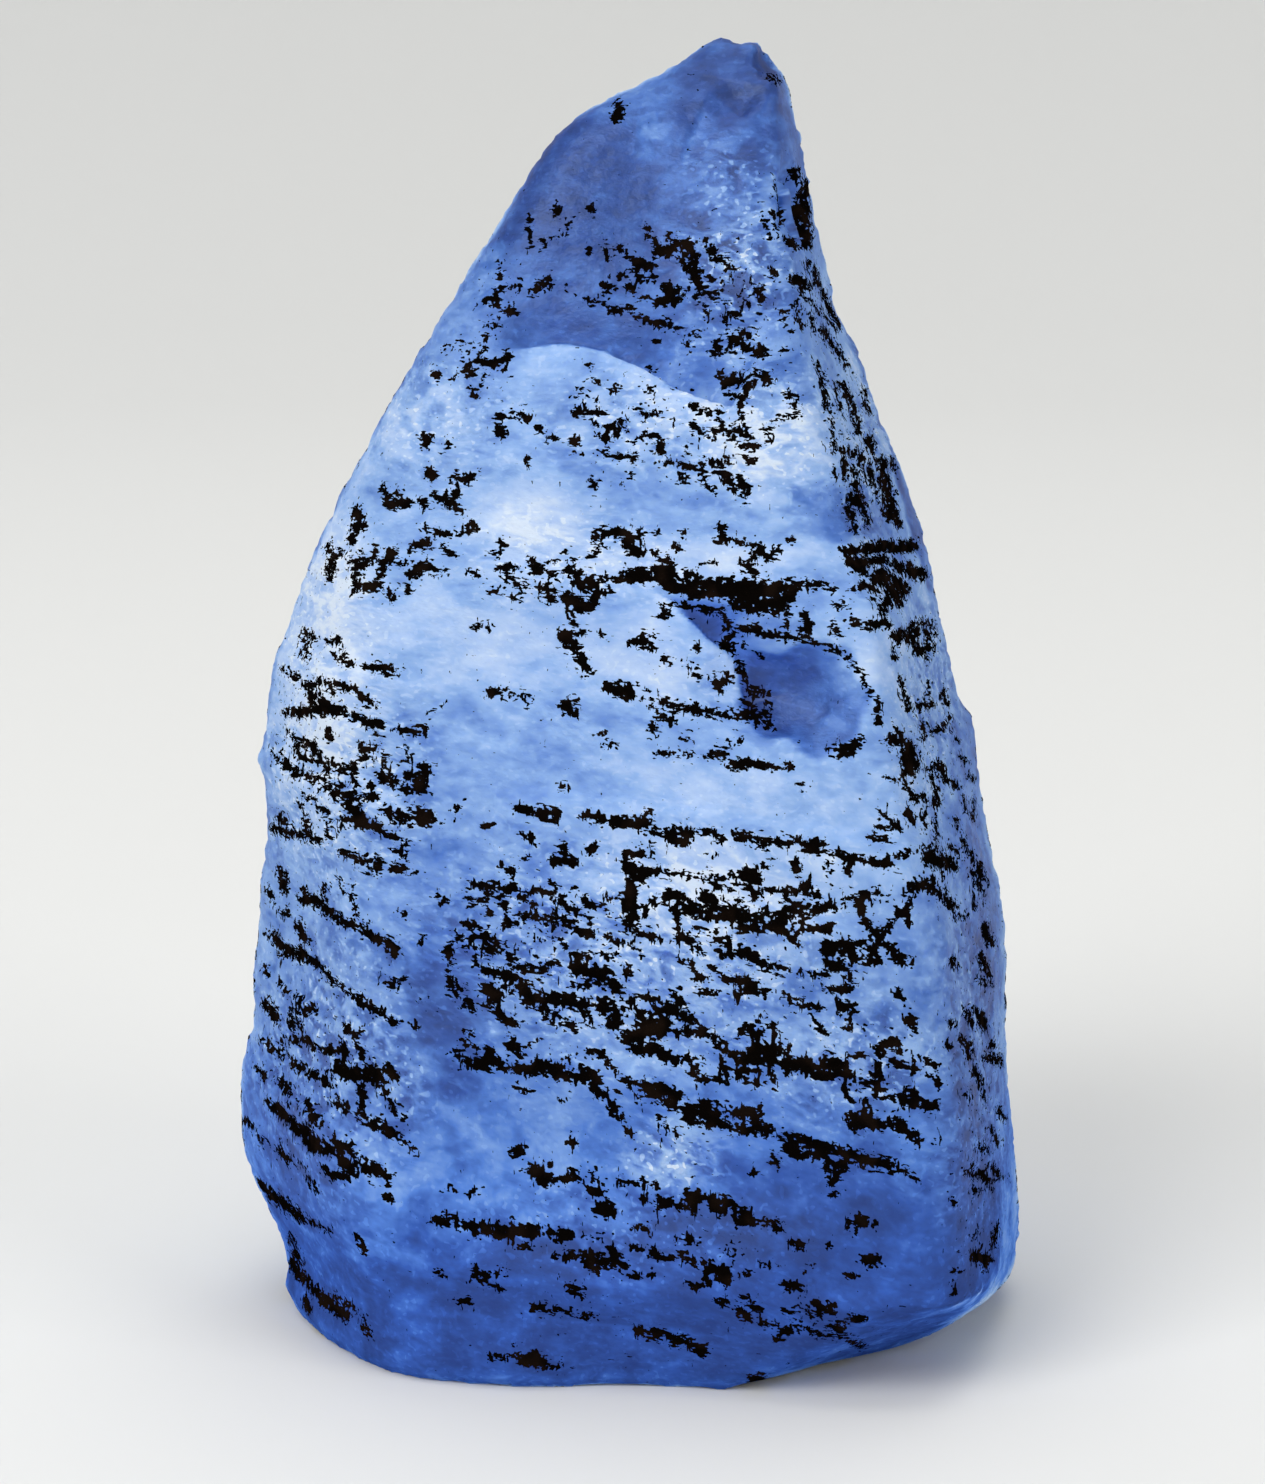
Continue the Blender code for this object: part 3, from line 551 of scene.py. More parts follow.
    (5.7, 782, 910, 834, 908), (3.4, 760, 914, 784, 914), (5.5, 740, 927, 780, 926),
    (4.2, 784, 918, 800, 924), (4.2, 796, 930, 830, 928), (4.7, 784, 930, 796, 942),
    (4, 740, 920, 760, 920), (5.5, 742, 948, 756, 960), (4, 756, 962, 786, 970),
    (3.2, 750, 992, 766, 992), (3.4, 784, 994, 796, 1004), (4.5, 800, 1004, 820, 1008),
    (2.6, 798, 1000, 812, 1012), (2.3, 760, 1016, 762, 1018), (7.6, 828, 949, 850, 950),
    (5.4, 850, 956, 870, 960), (5.4, 830, 964, 842, 968), (3.1, 846, 942, 870, 942),
    (4.2, 868, 944, 878, 960), (3, 800, 974, 822, 975), (2.6, 820, 978, 828, 974),
    (2.2, 822, 984, 840, 990), (4.2, 838, 990, 850, 990), (2, 846, 966, 848, 980),
    (2, 850, 978, 856, 986), (1.4, 840, 910, 842, 894), (3, 846, 898, 860, 900),
    (3.4, 858, 896, 880, 892), (3.9, 862, 908, 868, 930), (4.7, 868, 926, 880, 936),
    (3.4, 880, 932, 890, 928), (1.7, 870, 902, 896, 904), (4, 876, 940, 884, 946),
    (4.8, 884, 944, 900, 958), (4.2, 898, 958, 910, 964), (2, 890, 925, 900, 916),
    (4, 904, 912, 908, 904), (4, 900, 912, 908, 922), (2, 902, 900, 912, 896), (6.7, 910, 889, 920, 885),
    (3.4, 922, 878, 926, 886), (2.9, 930, 878, 936, 886), (5.5, 930, 888, 944, 898),
    (5.5, 940, 896, 950, 905), (2, 942, 872, 942, 880), (2.6, 950, 908, 956, 920),
    (2.6, 956, 914, 964, 918),
    # low on the left face
    (4, 282, 872, 286, 892), (2, 268, 890, 274, 900), (3, 280, 911, 290, 914), (6.5, 304, 898, 318, 902),
    (5.2, 318, 902, 326, 912), (4.7, 326, 912, 340, 920, 360, 928), (6, 360, 928, 378, 940),
    (4, 378, 937, 390, 942), (6, 390, 943, 395, 953), (3, 322, 905, 326, 885), (3, 308, 898, 304, 888),
    (2, 340, 880, 346, 894), (1.2, 352, 880, 354, 895), (2, 354, 900, 358, 918), (2, 366, 930, 370, 920),
    (4.7, 298, 923, 302, 934), (2.6, 302, 934, 310, 942), (3.3, 270, 935, 276, 932),
    (4.7, 277, 939, 286, 952), (7, 287, 952, 304, 958), (3.2, 300, 945, 300, 954),
    (5.2, 304, 958, 318, 964), (4.2, 318, 966, 334, 980), (3.5, 334, 980, 350, 992),
    (4.7, 350, 992, 362, 1000), (6, 362, 1000, 378, 1012), (4.7, 378, 1010, 396, 1022),
    (2, 396, 1022, 404, 1020), (3.2, 394, 980, 394, 988), (2, 265, 966, 268, 976),
    (2, 280, 984, 290, 994), (5.5, 268, 1004, 278, 1018), (2, 272, 1018, 282, 1026),
    (4.5, 294, 1010, 312, 1010), (2.3, 300, 996, 302, 1008), (2.3, 312, 1004, 316, 1012),
    (3.6, 292, 1022, 298, 1028), (2.3, 300, 1014, 302, 1034), (4, 264, 1040, 276, 1048),
    (2.6, 276, 1048, 284, 1056), (1.7, 284, 1040, 284, 1056), (3.6, 294, 1040, 306, 1040, 316, 1046),
    (2, 290, 1055, 298, 1064), (4, 318, 1050, 342, 1052), (3.6, 342, 1040, 346, 1062),
    (2, 345, 1025, 352, 1028), (2, 346, 1032, 362, 1030), (2, 356, 1036, 364, 1058),
    (4, 296, 1064, 312, 1074), (4.5, 312, 1074, 330, 1078), (3.6, 322, 1078, 334, 1084),
    (2, 330, 1066, 340, 1062), (6.5, 340, 1068, 356, 1076), (8.8, 358, 1073, 376, 1076),
    (2.3, 376, 1062, 380, 1080), (3.5, 390, 1072, 398, 1078), (2, 390, 1066, 391, 1072),
    (4.6, 282, 1080, 290, 1092), (2, 288, 1092, 290, 1104), (3.3, 258, 1068, 264, 1076),
    (3.1, 268, 1100, 276, 1106), (5.2, 276, 1106, 286, 1118, 300, 1130), (7.8, 302, 1130, 316, 1146),
    (5, 310, 1104, 314, 1118), (3.1, 316, 1124, 324, 1124), (3.1, 334, 1104, 350, 1104),
    (3.1, 340, 1098, 346, 1112), (4, 362, 1082, 364, 1112), (5.2, 362, 1112, 372, 1120),
    (5.2, 372, 1122, 392, 1132), (3.1, 382, 1116, 384, 1124), (4, 392, 1132, 406, 1140),
    (2.6, 406, 1140, 418, 1154), (4, 382, 1080, 390, 1098), (2.3, 390, 1098, 396, 1112),
    (1.4, 398, 1104, 408, 1122), (3.6, 246, 1120, 258, 1130), (2.3, 258, 1130, 264, 1144),
    (4, 318, 1140, 330, 1148), (5.2, 326, 1150, 340, 1150), (5.2, 334, 1140, 352, 1150),
    (4.5, 350, 1152, 360, 1160), (5, 344, 1160, 352, 1172), (4, 326, 1168, 336, 1176),
    (4.5, 336, 1174, 348, 1178), (3.6, 352, 1166, 366, 1172), (6.5, 362, 1168, 380, 1172),
    (2.6, 368, 1160, 376, 1164), (4, 380, 1172, 390, 1180), (4.1, 280, 1150, 290, 1158),
    (2, 298, 1162, 306, 1168), (3.1, 310, 1178, 318, 1190), (4, 258, 1182, 268, 1190),
    (5, 272, 1196, 284, 1204), (5.2, 282, 1200, 300, 1216), (2.2, 300, 1216, 306, 1220),
    (1.6, 310, 1222, 330, 1232), (3.2, 290, 1236, 300, 1262), (2.8, 358, 1236, 366, 1250),
    (5.2, 292, 1262, 302, 1278), (4.7, 302, 1278, 318, 1292, 330, 1302), (5.7, 326, 1302, 346, 1316),
    (2.3, 336, 1296, 350, 1304), (1.6, 346, 1304, 362, 1314), (2.6, 304, 1300, 310, 1312),
    (3.2, 364, 1320, 370, 1334), (3.6, 386, 1196, 394, 1202), (3.5, 434, 1218, 460, 1220),
    (4.2, 440, 1222, 454, 1226), (2.3, 450, 1214, 456, 1218), (5.6, 464, 1224, 478, 1226),
    (5.6, 474, 1228, 494, 1232), (2.2, 449, 1186, 455, 1188), (2.2, 468, 1192, 484, 1188),
    (2.8, 438, 1272, 442, 1274), (4.5, 476, 1268, 486, 1276), (2, 472, 1280, 490, 1282),
    (2.8, 490, 1284, 502, 1290), (2.3, 496, 1272, 504, 1272), (2.4, 454, 1300, 472, 1302),
    # the dark belt across the front
    (5.3, 486, 888, 514, 888), (3.4, 484, 884, 492, 892), (4, 500, 895, 506, 912),
    (1.6, 480, 900, 490, 912), (4, 524, 898, 536, 890), (3.5, 534, 890, 558, 892),
    (2.2, 552, 882, 556, 890), (1.6, 532, 898, 541, 916), (4, 506, 922, 530, 916, 560, 924),
    (5.6, 560, 900, 576, 910), (4.6, 556, 914, 572, 922), (4.8, 566, 926, 590, 934),
    (2, 548, 924, 546, 940), (2, 572, 890, 590, 902), (2.8, 584, 906, 602, 905), (2, 588, 906, 592, 924),
    (2.3, 604, 904, 610, 914), (6.2, 630, 872, 632, 900), (8, 628, 896, 632, 914),
    (4, 624, 916, 630, 930), (3.4, 640, 868, 650, 876), (1.6, 604, 900, 624, 896),
    (3.1, 606, 935, 620, 942), (2.8, 482, 930, 486, 950), (2.8, 490, 934, 496, 948),
    (4, 500, 946, 512, 956), (2.3, 480, 955, 490, 952), (3.5, 560, 940, 568, 950),
    (2.6, 568, 950, 576, 958), (1.9, 576, 958, 600, 956), (4, 604, 958, 618, 954),
    (3.6, 622, 968, 630, 972), (2.3, 632, 944, 640, 956), (1, 524, 950, 538, 956),
    (6.5, 486, 970, 500, 972), (5, 500, 974, 516, 978), (6.6, 486, 988, 500, 995),
    (2.6, 500, 984, 510, 990), (4, 520, 966, 545, 968), (3, 548, 962, 560, 966),
    (7.6, 578, 967, 604, 974), (4.6, 600, 972, 620, 984), (7.8, 522, 986, 530, 999),
    (6.5, 530, 997, 560, 1000), (7.5, 556, 997, 584, 1003), (3, 572, 984, 590, 984),
    (4.2, 590, 978, 620, 992), (4, 544, 1006, 556, 1016), (3.5, 580, 1008, 588, 1014),
    (4, 488, 1004, 500, 1012), (4.5, 500, 1012, 512, 1024), (9, 606, 1004, 616, 1020),
    (3.3, 616, 1010, 630, 1006), (4, 604, 1024, 612, 1026), (2.6, 598, 998, 604, 1004),
    (3.1, 560, 1024, 576, 1026), (1.4, 540, 1018, 560, 1024), (1.2, 580, 1024, 600, 1025),
    (1.7, 628, 1000, 642, 994), (3.5, 640, 998, 656, 996), (1.6, 656, 998, 652, 1012),
    (3.5, 640, 1012, 654, 1014), (4, 674, 992, 682, 1002), (10.5, 646, 1029, 662, 1027),
    (7.2, 626, 1035, 640, 1040), (3.6, 636, 1024, 646, 1020), (6.5, 660, 1012, 672, 1008),
    (5, 672, 1010, 690, 1018), (4.2, 690, 1018, 706, 1030), (5, 634, 1050, 650, 1050),
    (6.5, 650, 1047, 674, 1060), (3.1, 676, 1062, 684, 1060), (3.3, 670, 1030, 700, 1034),
    (4.2, 700, 1032, 724, 1044), (1.7, 690, 1056, 712, 1060), (4.5, 690, 1062, 696, 1076),
    (2.3, 694, 1066, 708, 1060), (3, 702, 1080, 720, 1080), (4.2, 718, 1046, 736, 1056),
    (3, 724, 1058, 728, 1080), (4.3, 736, 1060, 750, 1064), (2.6, 738, 1036, 756, 1024),
    (4.5, 748, 1030, 760, 1036), (5.5, 480, 1062, 500, 1062), (4.2, 486, 1050, 494, 1058),
    (4, 500, 1068, 524, 1070), (5.5, 510, 1044, 518, 1056), (2.3, 520, 1050, 536, 1044),
    (5.2, 518, 1068, 536, 1072), (7.8, 538, 1067, 558, 1070), (2.3, 548, 1056, 556, 1062),
    (5.6, 556, 1074, 584, 1080), (6.5, 584, 1071, 596, 1076), (5.2, 592, 1084, 604, 1096),
    (4, 596, 1076, 600, 1084), (1.7, 514, 1086, 530, 1092), (2.3, 562, 1060, 570, 1062),
    (4, 588, 1050, 604, 1056), (3.5, 602, 1056, 606, 1060), (2.6, 608, 1060, 616, 1074),
    (2, 616, 1092, 622, 1096), (5.2, 612, 1106, 620, 1116), (4, 626, 1082, 640, 1082),
    (2, 640, 1090, 650, 1086), (6.5, 648, 1088, 660, 1092), (5.5, 656, 1085, 678, 1096),
    (2.3, 636, 1094, 640, 1102), (2.3, 656, 1100, 672, 1104), (3.2, 672, 1104, 682, 1112),
    (2, 562, 1098, 568, 1100), (7.8, 688, 1111, 714, 1112), (4.2, 700, 1104, 718, 1106),
    (4.2, 690, 1120, 720, 1124), (4.8, 720, 1122, 736, 1128), (5.5, 736, 1127, 756, 1130),
    (4.7, 730, 1110, 740, 1114), (5.3, 744, 1112, 758, 1114), (4, 570, 1140, 576, 1142),
    (2.2, 660, 1118, 670, 1128), (2.3, 672, 1130, 680, 1134), (2.4, 626, 1126, 630, 1134),
    (5, 842, 1006, 854, 1010), (4, 848, 1010, 850, 1020), (2, 846, 1024, 850, 1028),
    (2, 862, 1028, 868, 1028), (4.5, 816, 1022, 826, 1032), (2.3, 824, 1042, 828, 1048),
    (2.8, 848, 1055, 860, 1056), (6.2, 745, 1028, 760, 1034), (4, 772, 1026, 778, 1036),
    (10, 756, 1051, 770, 1057), (7.5, 744, 1058, 756, 1060), (3.8, 772, 1046, 790, 1050),
    (2.3, 784, 1048, 790, 1056), (3.4, 740, 1070, 758, 1070), (3, 744, 1078, 760, 1084),
    (2, 772, 1070, 774, 1090), (3.8, 782, 1062, 790, 1076), (4.5, 786, 1060, 800, 1064),
    (7.7, 798, 1063, 814, 1067), (5.5, 814, 1073, 832, 1074), (8.2, 828, 1063, 842, 1066),
    (4.5, 844, 1070, 852, 1076), (4, 874, 1046, 880, 1050), (6, 885, 1042, 898, 1046),
    (2.6, 898, 1044, 902, 1052), (2.3, 890, 1060, 900, 1062), (2.6, 914, 1058, 914, 1074),
    (2.3, 896, 1066, 920, 1072), (4.7, 878, 1062, 880, 1080), (3.6, 870, 1076, 880, 1090),
    (3.2, 862, 1078, 864, 1084), (4, 880, 1082, 874, 1096), (3.5, 925, 1062, 936, 1066),
    (3.5, 930, 1076, 938, 1084), (2.2, 842, 1086, 852, 1100), (1.8, 852, 1078, 860, 1090),
    (3.7, 884, 1096, 900, 1098), (6.2, 901, 1099, 920, 1102), (2.3, 906, 1088, 916, 1094),
    (3.5, 906, 1106, 914, 1108), (4.5, 922, 1106, 934, 1106), (4, 868, 1100, 870, 1116),
    (5, 850, 1115, 868, 1118), (5, 852, 1124, 880, 1124), (4.2, 884, 1126, 892, 1122),
    (5.7, 892, 1122, 904, 1128), (5, 904, 1130, 918, 1140), (2.6, 898, 1118, 902, 1120),
    (2.2, 934, 1140, 937, 1144), (6.5, 757, 1127, 770, 1131), (2.2, 760, 1104, 763, 1122),
    (4, 896, 994, 904, 1000), (4.5, 911, 1018, 912, 1030), (2.6, 906, 1022, 914, 1020),
    (3.5, 946, 1044, 950, 1048), (2.2, 948, 1022, 952, 1026), (3.6, 952, 960, 954, 966),
    # low on the right face
    (3.1, 964, 1012, 970, 1024), (3.5, 972, 1010, 978, 1014), (4.7, 978, 1014, 982, 1026),
    (2, 960, 1036, 964, 1040), (3.5, 966, 1044, 968, 1058), (4, 980, 956, 982, 968),
    (2.3, 984, 968, 988, 984), (2.3, 978, 978, 982, 984), (4.7, 984, 926, 990, 942),
    (3.7, 972, 872, 980, 890), (3, 978, 872, 982, 880), (1.7, 972, 890, 974, 908),
    (1.2, 982, 890, 983, 904), (5, 984, 1058, 998, 1060), (2.8, 988, 1044, 992, 1046),
    (3.1, 972, 1070, 976, 1080), (2, 978, 1080, 984, 1100), (2.3, 964, 1094, 968, 1100),
    (2.3, 998, 1055, 1000, 1064), (3.3, 990, 1128, 996, 1142), (3.3, 998, 1110, 1002, 1118),
    (3.5, 976, 1146, 984, 1150), (3.1, 964, 1172, 974, 1172), (2, 970, 1166, 972, 1180),
    (4.7, 978, 1174, 986, 1180), (2, 986, 1180, 990, 1190), (3.1, 972, 1190, 978, 1190),
    (3.2, 990, 1165, 998, 1176), (2, 998, 1176, 1004, 1178), (2.2, 952, 1200, 956, 1204),
    (3.6, 996, 1226, 992, 1244), (2.2, 972, 1238, 978, 1232), (6.5, 975, 1256, 985, 1260),
    (3.1, 978, 1250, 984, 1268), (2.6, 952, 1270, 958, 1271), (2.2, 954, 1286, 952, 1292),
    # low on the front, and the foot
    (4, 512, 1152, 524, 1150), (2, 524, 1146, 526, 1150), (2.3, 522, 1168, 534, 1164),
    (5.7, 532, 1168, 548, 1176), (2.6, 544, 1164, 552, 1166), (4, 536, 1176, 548, 1182),
    (4.2, 556, 1178, 578, 1180), (1.2, 566, 1170, 600, 1168), (2.7, 590, 1178, 600, 1180),
    (5.5, 591, 1190, 599, 1192), (2.7, 622, 1180, 630, 1184), (2.5, 634, 1182, 658, 1184),
    (2.5, 640, 1184, 644, 1188), (3, 640, 1196, 646, 1200), (4.7, 598, 1210, 616, 1212),
    (4.2, 600, 1204, 610, 1206), (4.9, 684, 1192, 700, 1196), (4.1, 688, 1198, 694, 1206),
    (4.2, 660, 1202, 680, 1206), (2.2, 680, 1206, 696, 1212), (2.9, 700, 1196, 716, 1198),
    (5.5, 712, 1202, 724, 1214), (5.5, 726, 1202, 744, 1212), (6.7, 736, 1211, 751, 1221),
    (3.5, 738, 1224, 750, 1224), (2.6, 634, 1226, 642, 1226), (2.6, 644, 1224, 650, 1232),
    (2.6, 630, 1246, 650, 1248), (2.2, 640, 1250, 648, 1244), (3, 652, 1254, 676, 1258),
    (3, 680, 1238, 696, 1240), (4.2, 498, 1224, 502, 1236), (1.3, 500, 1220, 514, 1220),
    (7.2, 505, 1231, 531, 1230), (3, 526, 1237, 534, 1236), (4.2, 546, 1230, 552, 1232),
    (4.2, 556, 1242, 566, 1238), (4, 562, 1236, 574, 1234), (1.2, 560, 1230, 576, 1236),
    (3, 516, 1246, 532, 1246), (1.2, 574, 1236, 604, 1240, 614, 1244), (2, 552, 1254, 566, 1256),
    (4.5, 564, 1258, 600, 1256), (3, 574, 1253, 590, 1254), (5.5, 584, 1262, 596, 1270),
    (4, 596, 1260, 614, 1264), (2.3, 610, 1252, 614, 1268), (4.7, 618, 1256, 624, 1268),
    (2.4, 624, 1276, 644, 1276), (1.8, 634, 1272, 656, 1274), (4.2, 682, 1256, 696, 1262),
    (3.2, 696, 1262, 716, 1266), (7, 707, 1270, 725, 1272), (5.5, 718, 1278, 728, 1280),
    (2.6, 704, 1278, 710, 1282), (4, 690, 1284, 696, 1288), (2.3, 684, 1254, 686, 1262),
    (2.6, 726, 1250, 746, 1250), (2.6, 732, 1244, 734, 1256), (1.4, 738, 1272, 752, 1274),
    (4.7, 570, 1286, 578, 1288), (2.5, 576, 1290, 580, 1296), (4.7, 534, 1308, 546, 1308),
    (3.5, 546, 1308, 564, 1310), (3.5, 576, 1314, 594, 1316), (4.7, 640, 1330, 660, 1332),
    (4.7, 650, 1336, 664, 1334), (4.5, 664, 1334, 690, 1342), (2.6, 672, 1342, 684, 1344),
    (5.5, 688, 1342, 702, 1350), (3.1, 698, 1350, 704, 1354), (3.5, 490, 1356, 520, 1356),
    (2.3, 514, 1350, 516, 1358), (6, 525, 1360, 541, 1362), (2.6, 532, 1354, 540, 1356),
    (3.6, 550, 1366, 556, 1366), (3.2, 714, 1298, 724, 1302), (2.7, 722, 1302, 734, 1304),
    (5, 752, 1378, 762, 1378), (3.7, 786, 1134, 800, 1138), (5, 786, 1144, 800, 1156),
    (7.2, 798, 1141, 824, 1148), (5.5, 806, 1154, 824, 1156), (6.7, 824, 1148, 850, 1154),
    (6.2, 848, 1156, 868, 1160), (6.7, 866, 1160, 890, 1166), (4.5, 888, 1166, 902, 1172),
    (3.2, 902, 1172, 918, 1178), (6, 830, 1164, 844, 1166), (4.2, 830, 1172, 834, 1180),
    (2.4, 828, 1182, 842, 1182), (3.1, 832, 1194, 838, 1194), (3, 850, 1220, 850, 1226),
    (5.5, 860, 1218, 866, 1224), (2.6, 856, 1228, 854, 1234), (2.3, 866, 1220, 872, 1226),
    (5, 864, 1258, 874, 1262), (3, 866, 1254, 878, 1258), (2.6, 872, 1264, 878, 1270),
    (2.1, 846, 1274, 855, 1274), (3.5, 790, 1242, 802, 1244), (2.3, 827, 1246, 830, 1247),
    (3.2, 762, 1264, 768, 1265), (2.3, 806, 1266, 812, 1266), (2.8, 762, 1218, 774, 1222),
    (4.2, 770, 1222, 778, 1230), (5, 786, 1284, 800, 1288), (3.1, 784, 1310, 790, 1312),
    (2.3, 798, 1303, 802, 1305), (3.5, 808, 1310, 818, 1316), (2.6, 814, 1302, 822, 1306),
    (4.8, 822, 1308, 834, 1308), (5, 740, 1312, 748, 1318), (4.5, 752, 1306, 760, 1312),
    (2.9, 742, 1296, 750, 1302), (4, 832, 1326, 840, 1330), (2, 838, 1320, 840, 1334),
    (3.2, 844, 1320, 864, 1318), (2.6, 852, 1316, 858, 1320), (2, 760, 1324, 776, 1326),
    (3.2, 776, 1338, 790, 1328), (2.7, 788, 1332, 800, 1324), (1.6, 800, 1328, 816, 1332),
    (2.5, 816, 1334, 846, 1338), (3.2, 846, 1338, 862, 1346), (3.1, 772, 1156, 778, 1164),
    (2, 750, 1172, 760, 1172),
    # left of the belt
    (3.5, 437, 895, 443, 902), (2.5, 443, 899, 450, 899), (2.2, 464, 887, 468, 892),
    (2, 473, 884, 494, 881), (3, 466, 899, 476, 903, 486, 903), (2.5, 402, 910, 408, 915),
    (3, 478, 925, 482, 935), (2.8, 457, 935, 464, 939, 482, 936), (2.5, 422, 938, 426, 937),
    (4.5, 447, 949, 450, 955), (2, 451, 958, 450, 970), (2, 449, 944, 456, 940),
    (3.5, 466, 941, 467, 948), (2, 462, 922, 472, 929), (2, 476, 948, 473, 962),
    (3.5, 481, 951, 494, 951), (3.5, 490, 936, 492, 947), (2.5, 402, 980, 406, 981),
    (4.5, 449, 982, 453, 994), (3, 455, 985, 460, 989), (2.5, 463, 999, 462, 1005),
    (4, 470, 1001, 473, 1009), (2, 410, 1023, 415, 1028, 418, 1024), (3, 464, 1033, 472, 1035),
    (3, 462, 1038, 465, 1048), (4, 453, 1053, 461, 1058, 466, 1063), (2.8, 470, 1046, 477, 1051),
    (3, 477, 1068, 488, 1066), (2, 421, 997, 426, 998),
    # the left shoulder
    (1.8, 458, 346, 464, 344), (2, 483, 338, 488, 334), (1.8, 468, 353, 475, 346),
    (2.2, 482, 351, 486, 347), (2.2, 452, 378, 461, 375, 467, 370), (2.2, 470, 376, 478, 370),
    (1.6, 490, 368, 487, 376, 483, 384), (2.2, 502, 374, 506, 370), (3.5, 474, 396, 478, 391),
    # the rim of the slab
    (6, 726, 644, 732, 653), (4, 720, 610, 726, 625, 732, 640), (3, 737, 668, 739, 675),
    (3, 672, 604, 690, 606, 716, 612),
)
print(len(FILM_STROKES), "strokes")

# %% [markdown]
# Each point of the skin gets its distance from the nearest stroke's edge. Noise, added to that
# distance later, gives the flecks their ragged outlines, and makes the specks under about four
# pixels, which aren't traced. Where the photograph has many of them they are made likelier. On the
# back, where the photograph can't say, short dashes along the layers take the strokes' place.

# %% How near each place is to the film
# (middle x, middle y, half width, half height, how much likelier small flecks are)
SPRINKLED = (
    (730, 290, 50, 60, 0.18), (748, 372, 36, 60, 0.16), (850, 450, 34, 90, 0.15),
    (500, 300, 30, 50, 0.14), (470, 365, 36, 26, 0.14), (660, 430, 90, 50, 0.12),
    (795, 210, 24, 40, 0.14), (825, 310, 24, 44, 0.16), (295, 760, 30, 110, 0.12),
    (370, 790, 70, 60, 0.10), (545, 960, 90, 90, 0.12), (740, 950, 110, 80, 0.09),
    (890, 1080, 60, 50, 0.11), (320, 1080, 70, 110, 0.12), (975, 1080, 26, 260, 0.12),
    (670, 1140, 60, 40, 0.09), (640, 1230, 150, 60, 0.06), (920, 780, 44, 120, 0.11),
    (350, 570, 60, 40, 0.09), (540, 590, 60, 30, 0.11), (790, 600, 60, 30, 0.10),
)
NO_FILM = -0.27  # the field far from any stroke
PER_PIXEL = 0.045  # how far the field falls with each pixel away from a stroke
STROKE_REACH = 20  # pixels beyond a stroke's ends where its field is worked out
FULLEST = 0.19  # as far as the field rises, so that wide strokes keep some holes too


def film_field(x, y):
    """Above 0 inside a stroke, and falling with distance outside it, down to NO_FILM."""
    field = np.full(len(x), NO_FILM)
    for middle_x, middle_y, half_width, half_height, likelier in SPRINKLED:
        away = ((x - middle_x) / half_width) ** 2 + ((y - middle_y) / half_height) ** 2
        field = np.maximum(field, NO_FILM + likelier * np.exp(-away))
    for half_width, *corners in FILM_STROKES:
        for x0, y0, x1, y1 in zip(corners[0::2], corners[1::2], corners[2::2], corners[3::2]):
            across, along = x1 - x0, y1 - y0
            reach = math.hypot(across, along) / 2 + STROKE_REACH
            near = np.hypot(x - (x0 + x1) / 2, y - (y0 + y1) / 2) < reach
            right, down = x[near] - x0, y[near] - y0
            share = (right * across + down * along) / (across**2 + along**2)
            share = np.clip(share, 0, 1)
            away = np.hypot(right - share * across, down - share * along)
            field[near] = np.maximum(field[near], PER_PIXEL * (half_width - away))
    return np.minimum(field, FULLEST)


print(len(SPRINKLED), "places with small flecks")

# %% [markdown]
# ## Finer squares, and the carving
# The flecks and the rims of the breaks are finer than the skin's squares, so the squares near
# them are cut in four. The rest of the skin keeps its larger squares, which saves triangles for
# where they show. Then the breaks are carved, and each point keeps its values for the nodes.
# What is read from the photograph holds only where the skin faces the camera.

# %% Finer squares near the flecks and rims
FACING = (0.0, 0.10)  # how squarely a point must face the camera for film and breaks to show
NEAR_FLECKS = -2.5 * PER_PIXEL  # the field 2.5 pixels outside a stroke
RIM_CHANGE = 0.02  # a change in paleness from point to point that marks a break's rim


def seen_share(mesh, least, full):
    """How squarely each point faces the camera, from 0 at the least to 1 at the full value."""
    towards = np.array(CAMERA_PLACE) - points_of(mesh)
    towards /= np.linalg.norm(towards, axis=1)[:, None]
    facing = np.einsum("ij,ij->i", towards, points_of(mesh, "normal"))
    return smoothstep((facing - least) / (full - least))


photo_x, photo_y = in_photo(points_of(crystal.data))
seen_here = seen_share(crystal.data, *FACING) > 0
near_film = (film_field(photo_x, photo_y) > NEAR_FLECKS) & seen_here
bared = breaks(photo_x, photo_y)[1] * seen_here
finer = bmesh.new()
finer.from_mesh(crystal.data)
finer.verts.ensure_lookup_table()
cut_edges = []
for edge in finer.edges:
    start, end = edge.verts[0].index, edge.verts[1].index
    if near_film[start] and near_film[end] or abs(bared[start] - bared[end]) > RIM_CHANGE:
        cut_edges.append(edge)
bmesh.ops.subdivide_edges(finer, edges=cut_edges, cuts=1, use_grid_fill=True)
finer.to_mesh(crystal.data)
finer.free()
print(len(cut_edges), "edges cut,", len(crystal.data.polygons), "faces")

# %% The carving
COLOUR_FACING = (0.0, 0.25)  # the front's colour gives way to the back's more gently


def keep_values(mesh, name, values):
    """Keeps one number, or one place, for each point of the mesh, for nodes to read by name."""
    flat = values.ndim == 1
    kept = mesh.attributes.new(name, "FLOAT" if flat else "FLOAT_VECTOR", "POINT")
    kept.data.foreach_set("value" if flat else "vector", values.astype(np.float32).ravel())


def sink(mesh, depth_mm):
    """Moves each point inwards along its normal."""
    places = points_of(mesh) - points_of(mesh, "normal") * (depth_mm * MM)[:, None]
    mesh.vertices.foreach_set("co", places.astype(np.float32).ravel())
    mesh.update()


